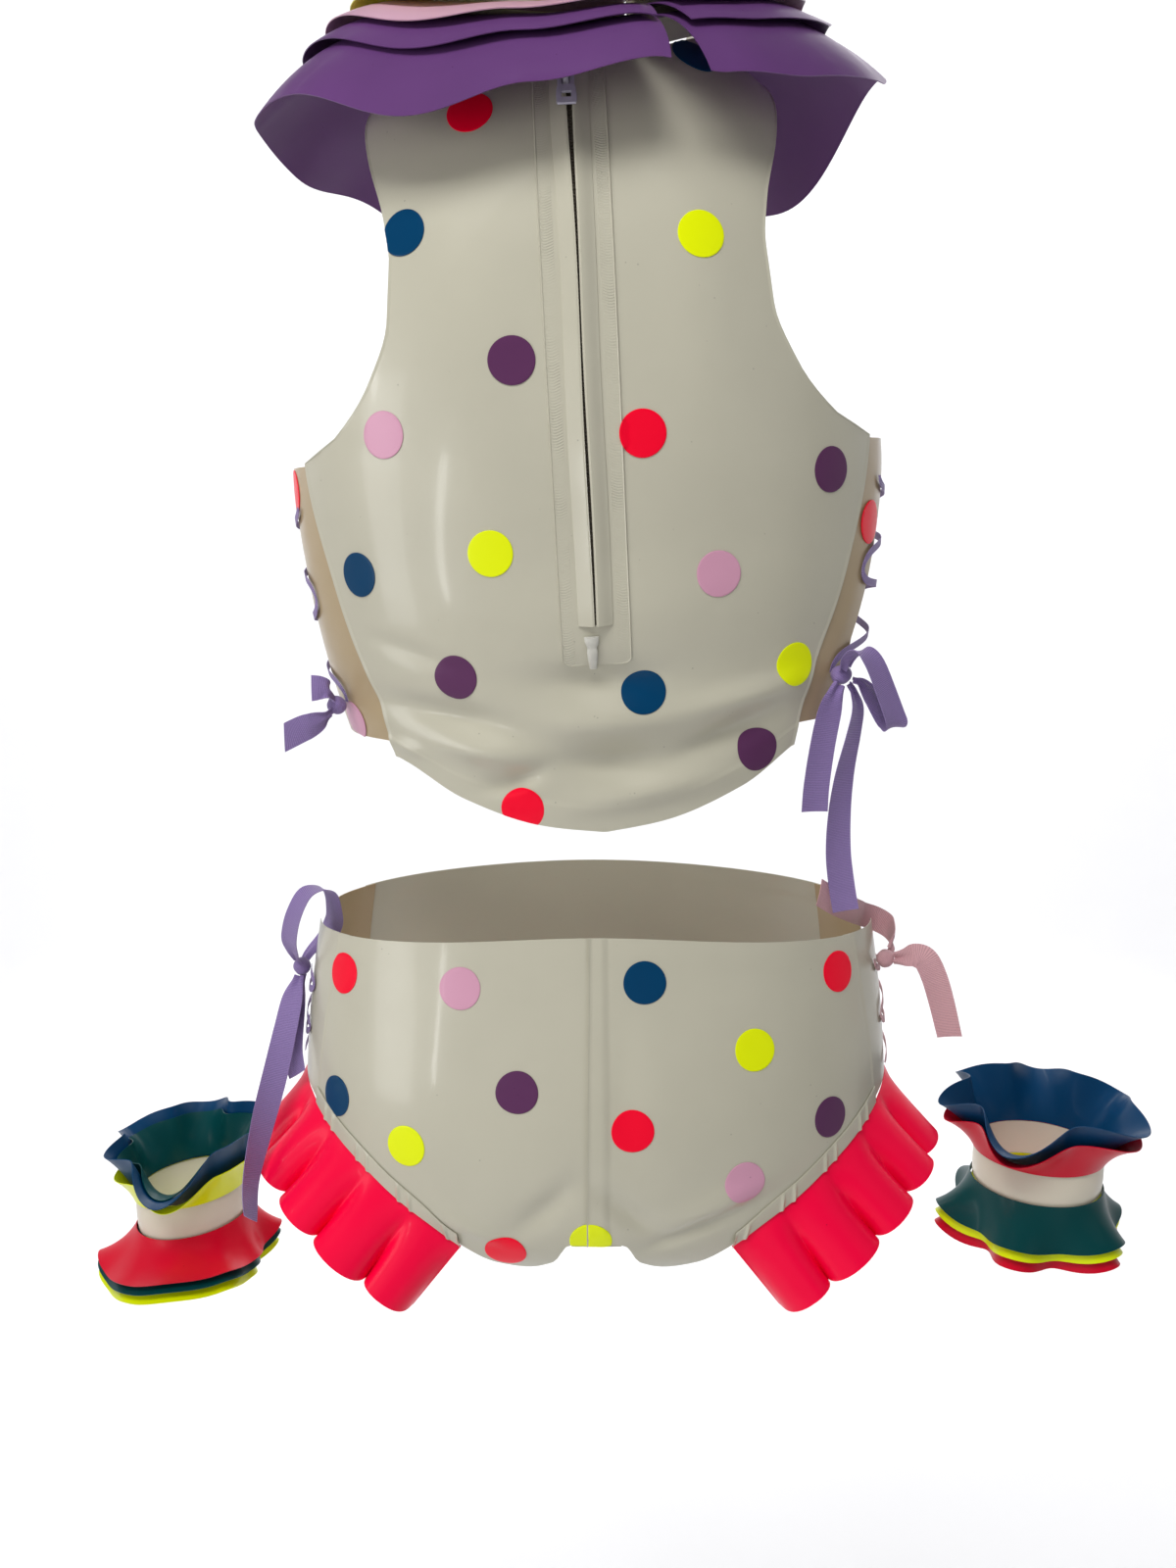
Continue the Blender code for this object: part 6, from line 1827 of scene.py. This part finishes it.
FREE_RIBBONS = (
    FreeRibbon("top_left_tail_up", Ribbon.PURPLE, 1, (
        (-0.1344, -0.0523, -0.3033), (-0.1360, -0.0565, -0.2985), (-0.1395, -0.0580, -0.2970),
        (-0.1445, -0.0585, -0.2970)), (-0.5, 0, 1), (0, 0.2, 1)),
    FreeRibbon("top_left_tail_down", Ribbon.PURPLE, 1, (
        (-0.1355, -0.0526, -0.3106), (-0.1390, -0.0565, -0.3138), (-0.1450, -0.0590, -0.3165),
        (-0.1505, -0.0600, -0.3187), (-0.1593, -0.0610, -0.3230)), (0.5, 0, 1), (0.4, 0, 1),
        slant=-0.5),
    FreeRibbon("top_right_bow", Ribbon.PURPLE, 2, (
        (0.1313, -0.0715, -0.2857), (0.1325, -0.0780, -0.2790), (0.1366, -0.0822, -0.2752),
        (0.1426, -0.0840, -0.2808), (0.1493, -0.0835, -0.2952), (0.1562, -0.0800, -0.3118),
        (0.1545, -0.0735, -0.3138), (0.1474, -0.0705, -0.3014), (0.1410, -0.0692, -0.2932),
        (0.1361, -0.0687, -0.2912)), (0.85, 0.6, 0), (0.85, 0.6, 0)),
    FreeRibbon("top_right_tail_short", Ribbon.PURPLE, 1, (
        (0.1287, -0.0712, -0.2933), (0.1262, -0.0740, -0.2980), (0.1235, -0.0750, -0.3060),
        (0.1204, -0.0750, -0.3242), (0.1185, -0.0730, -0.3452), (0.1183, -0.0710, -0.3602)),
        (1, 0.4, 0), (1, 0.1, 0)),
    FreeRibbon("top_right_tail_long", Ribbon.PURPLE, 1, (
        (0.1344, -0.0663, -0.2942), (0.1372, -0.0660, -0.2985), (0.1392, -0.0668, -0.3070),
        (0.1374, -0.0670, -0.3204), (0.1339, -0.0660, -0.3414), (0.1324, -0.0650, -0.3627),
        (0.1332, -0.0630, -0.3846), (0.1364, -0.0610, -0.4042), (0.1393, -0.0600, -0.4177)),
        (0.6, 1, 0), (1, -0.1, 0)),
    FreeRibbon("briefs_left_bow", Ribbon.PURPLE, 2, (
        (-0.1672, -0.0221, -0.4596), (-0.1688, -0.0275, -0.4530), (-0.1680, -0.0350, -0.4420),
        (-0.1640, -0.0400, -0.4280), (-0.1580, -0.0400, -0.4160), (-0.1515, -0.0370, -0.4125),
        (-0.1460, -0.0310, -0.4160), (-0.1450, -0.0240, -0.4280), (-0.1480, -0.0140, -0.4400),
        (-0.1550, -0.0060, -0.4510), (-0.1625, -0.0065, -0.4585), (-0.1650, -0.0130, -0.4619)),
        (-0.7, 0.7, 0), (-0.7, 0.7, 0)),
    FreeRibbon("briefs_left_tail_long", Ribbon.PURPLE, 1, (
        (-0.1667, -0.0226, -0.4686), (-0.1690, -0.0290, -0.4780), (-0.1720, -0.0390, -0.4950),
        (-0.1765, -0.0515, -0.5180), (-0.1815, -0.0670, -0.5420), (-0.1850, -0.0810, -0.5650),
        (-0.1850, -0.0870, -0.5850)), (1, -0.5, 0), (0.25, 1, 0), slant=0.5),
    FreeRibbon("briefs_left_tail_short", Ribbon.PURPLE, 1, (
        (-0.1660, -0.0158, -0.4701), (-0.1690, -0.0180, -0.4800), (-0.1715, -0.0250, -0.4940),
        (-0.1700, -0.0350, -0.5080), (-0.1650, -0.0440, -0.5200)), (0.3, 1, 0), (1, -0.8, 0)),
    FreeRibbon("briefs_right_tail_up", Ribbon.PINK, 1, (
        (0.1704, -0.0322, -0.4505), (0.1745, -0.0250, -0.4470), (0.1740, -0.0130, -0.4425),
        (0.1680, -0.0085, -0.4390), (0.1600, -0.0130, -0.4350), (0.1550, -0.0260, -0.4300),
        (0.1480, -0.0380, -0.4245), (0.1370, -0.0500, -0.4170), (0.1250, -0.0590, -0.4080)),
        (0, 0.2, 1), (0.5, 0, 1), slant=0.6),
    FreeRibbon("briefs_right_tail_down", Ribbon.PINK, 1, (
        (0.1717, -0.0402, -0.4517), (0.1770, -0.0445, -0.4497), (0.1815, -0.0480, -0.4475),
        (0.1865, -0.0510, -0.4490), (0.1910, -0.0535, -0.4580), (0.1955, -0.0550, -0.4720),
        (0.2010, -0.0560, -0.4920)), (0, 0.5, 1), (1, -0.6, 0.4)),
)

TOP_DOTS = {
    Latex.DOT_RED: ((-33, 7.56), (14, 4.14), (71.5, 3.22), (-78.5, 3.8), (-25.2, 0.84),
        (150, 2.9), (-150, 1.7), (-150, 6.1)),
    Latex.DOT_BLUE: ((-43.8, 6.02), (-57.8, 3), (13, 1.9), (52, 8.45), (-156, 4.2), (128, 2.2)),
    Latex.DOT_YELLOW: ((31, 5.9), (-25.7, 3.18), (52, 2), (152, 4.3), (-138, 2.5), (178, 5.3)),
    Latex.DOT_PURPLE: ((-17, 4.84), (57.5, 3.74), (-38.2, 2.08), (44.8, 1.24), (176, 3.6),
        (166, 1.8), (-122, 3.3)),
    Latex.DOT_PINK: ((-47.2, 4.24), (31.8, 2.9), (-71.2, 1.56), (-168, 2.8), (130, 3.5),
        (150, 6.3)),
}
BRIEFS_DOTS = {
    Latex.DOT_RED: ((-66.2, 7.48), (63.2, 7.54), (9, 5.72), (-23.5, 3.52), (164, 6.2), (-150, 5)),
    Latex.DOT_PINK: ((-37.2, 7.43), (34.8, 4.93), (-166, 6), (114, 7.2)),
    Latex.DOT_BLUE: ((14, 7.48), (-62.8, 5.83), (-148, 7.3), (134, 6.4)),
    Latex.DOT_YELLOW: ((40, 6.67), (-44.5, 5.4), (-1.5, 3.87), (150, 7.3), (-136, 6.3)),
    Latex.DOT_PURPLE: ((-20.2, 6.2), (55.2, 5.67), (178, 7.2), (170, 4.7)),
}


# ---- studio
@dataclass(frozen=True)
class Studio:
    """Camera at eye height behind the wearer, pale sweep, and soft lights.

    Attributes:
        camera_place: where the camera stands.
        pitch_deg: how far it looks down.
        lens: focal length in millimetres on a 36 mm frame.
        floor_z: height of the floor, where the wearer's feet would stand.
    """

    camera_place: Triple = (0.0, -0.72, -0.21)
    pitch_deg: float = 11.8
    lens: float = 29.25
    floor_z: float = -1.45

    def build_camera(self) -> None:
        """Places the camera."""
        data = bpy.data.cameras.new("camera")
        data.lens = self.lens
        data.sensor_width = 36.0
        data.clip_start = 0.01
        camera = bpy.data.objects.new("camera", data)
        camera.location = self.camera_place
        camera.rotation_euler = (math.radians(90.0 - self.pitch_deg), 0.0, 0.0)
        bpy.context.scene.collection.objects.link(camera)
        bpy.context.scene.camera = camera

    def build_stage(self) -> None:
        """Makes a pale round floor that sweeps up into a wall on the +Y side only, so that
        nothing bright stands behind the camera to dull the polish."""
        reach, bend, tall, lowest = 3.2, 1.0, 4.0, 0.02
        turn = np.linspace(0.0, np.pi / 2.0, 16)
        radius = np.concatenate([[lowest], reach + bend * np.sin(turn), [reach + bend]])
        height = np.concatenate([[0.0], bend * (1.0 - np.cos(turn)), [tall]])
        azimuth = np.linspace(0.0, 2.0 * np.pi, 73)[:, None]
        rise = self.floor_z + height * step_up(np.sin(azimuth), -0.35, 0.05)
        grid = np.stack([radius * np.cos(azimuth), radius * np.sin(azimuth), rise], axis=-1)
        parts = MeshParts()
        add_shell(parts, grid, grid_normals(grid, UP), 0.01)
        sweep = parts.build("studio_sweep")
        paint = bpy.data.materials.new("sweep paint")
        paint.use_nodes = True
        Wiring(paint.node_tree).feed(paint.node_tree.nodes["Principled BSDF"], {
            "Base Color": (0.86, 0.86, 0.87, 1.0), "Roughness": 0.95, "Specular IOR Level": 0.1})
        sweep.data.materials.append(paint)

    def build_lights(self) -> None:
        """Places a key on the left, two narrow windows that draw streaks in the polish, fills,
        a top light, a light for the backdrop and the pale surroundings.  The two soft ones
        don't mirror in the polish, as light bounced round a room doesn't."""
        chest = (0.0, 0.0, -0.3)
        lights = (("key", (-1.95, -1.15, -0.35), (0.0, 0.0, -0.5), (0.7, 1.2), 8.5),
                  ("window", (-1.00, -1.25, -0.40), (-0.05, 0.0, -0.45), (0.06, 0.3), 0.9),
                  ("side window", (-1.55, -0.80, 0.20), (-0.08, 0.0, -0.15), (0.08, 0.3), 0.8),
                  ("fill", (1.7, -1.5, 0.4), chest, (1.4, 1.4), 1.5),
                  ("soft fill", (-0.5, -2.3, -0.3), (0.0, 0.0, -0.4), (2.0, 1.6), 9.0),
                  ("soft top", (-0.40, -1.20, 1.35), (0.0, 0.0, -0.5), (1.4, 0.8), 30.0),
                  ("front", (0.4, 2.0, 0.9), chest, (1.6, 1.6), 14.0),
                  ("backdrop", (0.0, 1.0, 1.6), (0.0, 4.2, -0.6), (3.0, 1.0), 115.0))
        for name, place, target, size, power in lights:
            data = bpy.data.lights.new(name, "AREA")
            data.shape = "RECTANGLE"
            data.size, data.size_y = size
            data.energy = power
            lamp = bpy.data.objects.new(name, data)
            lamp.location = place
            lamp.visible_camera = False
            lamp.visible_glossy = "soft" not in name
            way = np.array(target) - np.array(place)
            lamp.rotation_euler = (math.acos(-way[2] / np.linalg.norm(way)), 0.0,
                                   math.atan2(-way[0], way[1]))
            bpy.context.scene.collection.objects.link(lamp)
        world = bpy.data.worlds.new("surroundings")
        world.use_nodes = True
        background = world.node_tree.nodes["Background"]
        background.inputs["Color"].default_value = (0.95, 0.96, 1.0, 1.0)
        background.inputs["Strength"].default_value = 0.12
        bpy.context.scene.world = world
        bpy.context.scene.view_settings.view_transform = "Standard"


def main() -> None:
    """Builds the costume and its studio, in order."""
    logging.basicConfig(level=logging.INFO)
    studio = Studio()
    studio.build_camera()
    for ribbon in FREE_RIBBONS:
        ribbon.build()
        LOG.info("free ribbon %s", ribbon.name)
    for lacing in LACINGS:
        lacing.build()
        LOG.info("lacing %s", lacing.label)
    for piece in (CropTop(), Zip(), Ruff(), Briefs(), LEFT_CUFF, RIGHT_CUFF,
                  Dots("top", TORSO, TOP_DOTS, top_limits, Zip().height),
                  Dots("briefs", HIPS, BRIEFS_DOTS, hip_limits, Briefs().height)):
        piece.build()
        LOG.info("%s built", type(piece).__name__)
    studio.build_stage()
    studio.build_lights()


if __name__ == "__main__":
    main()
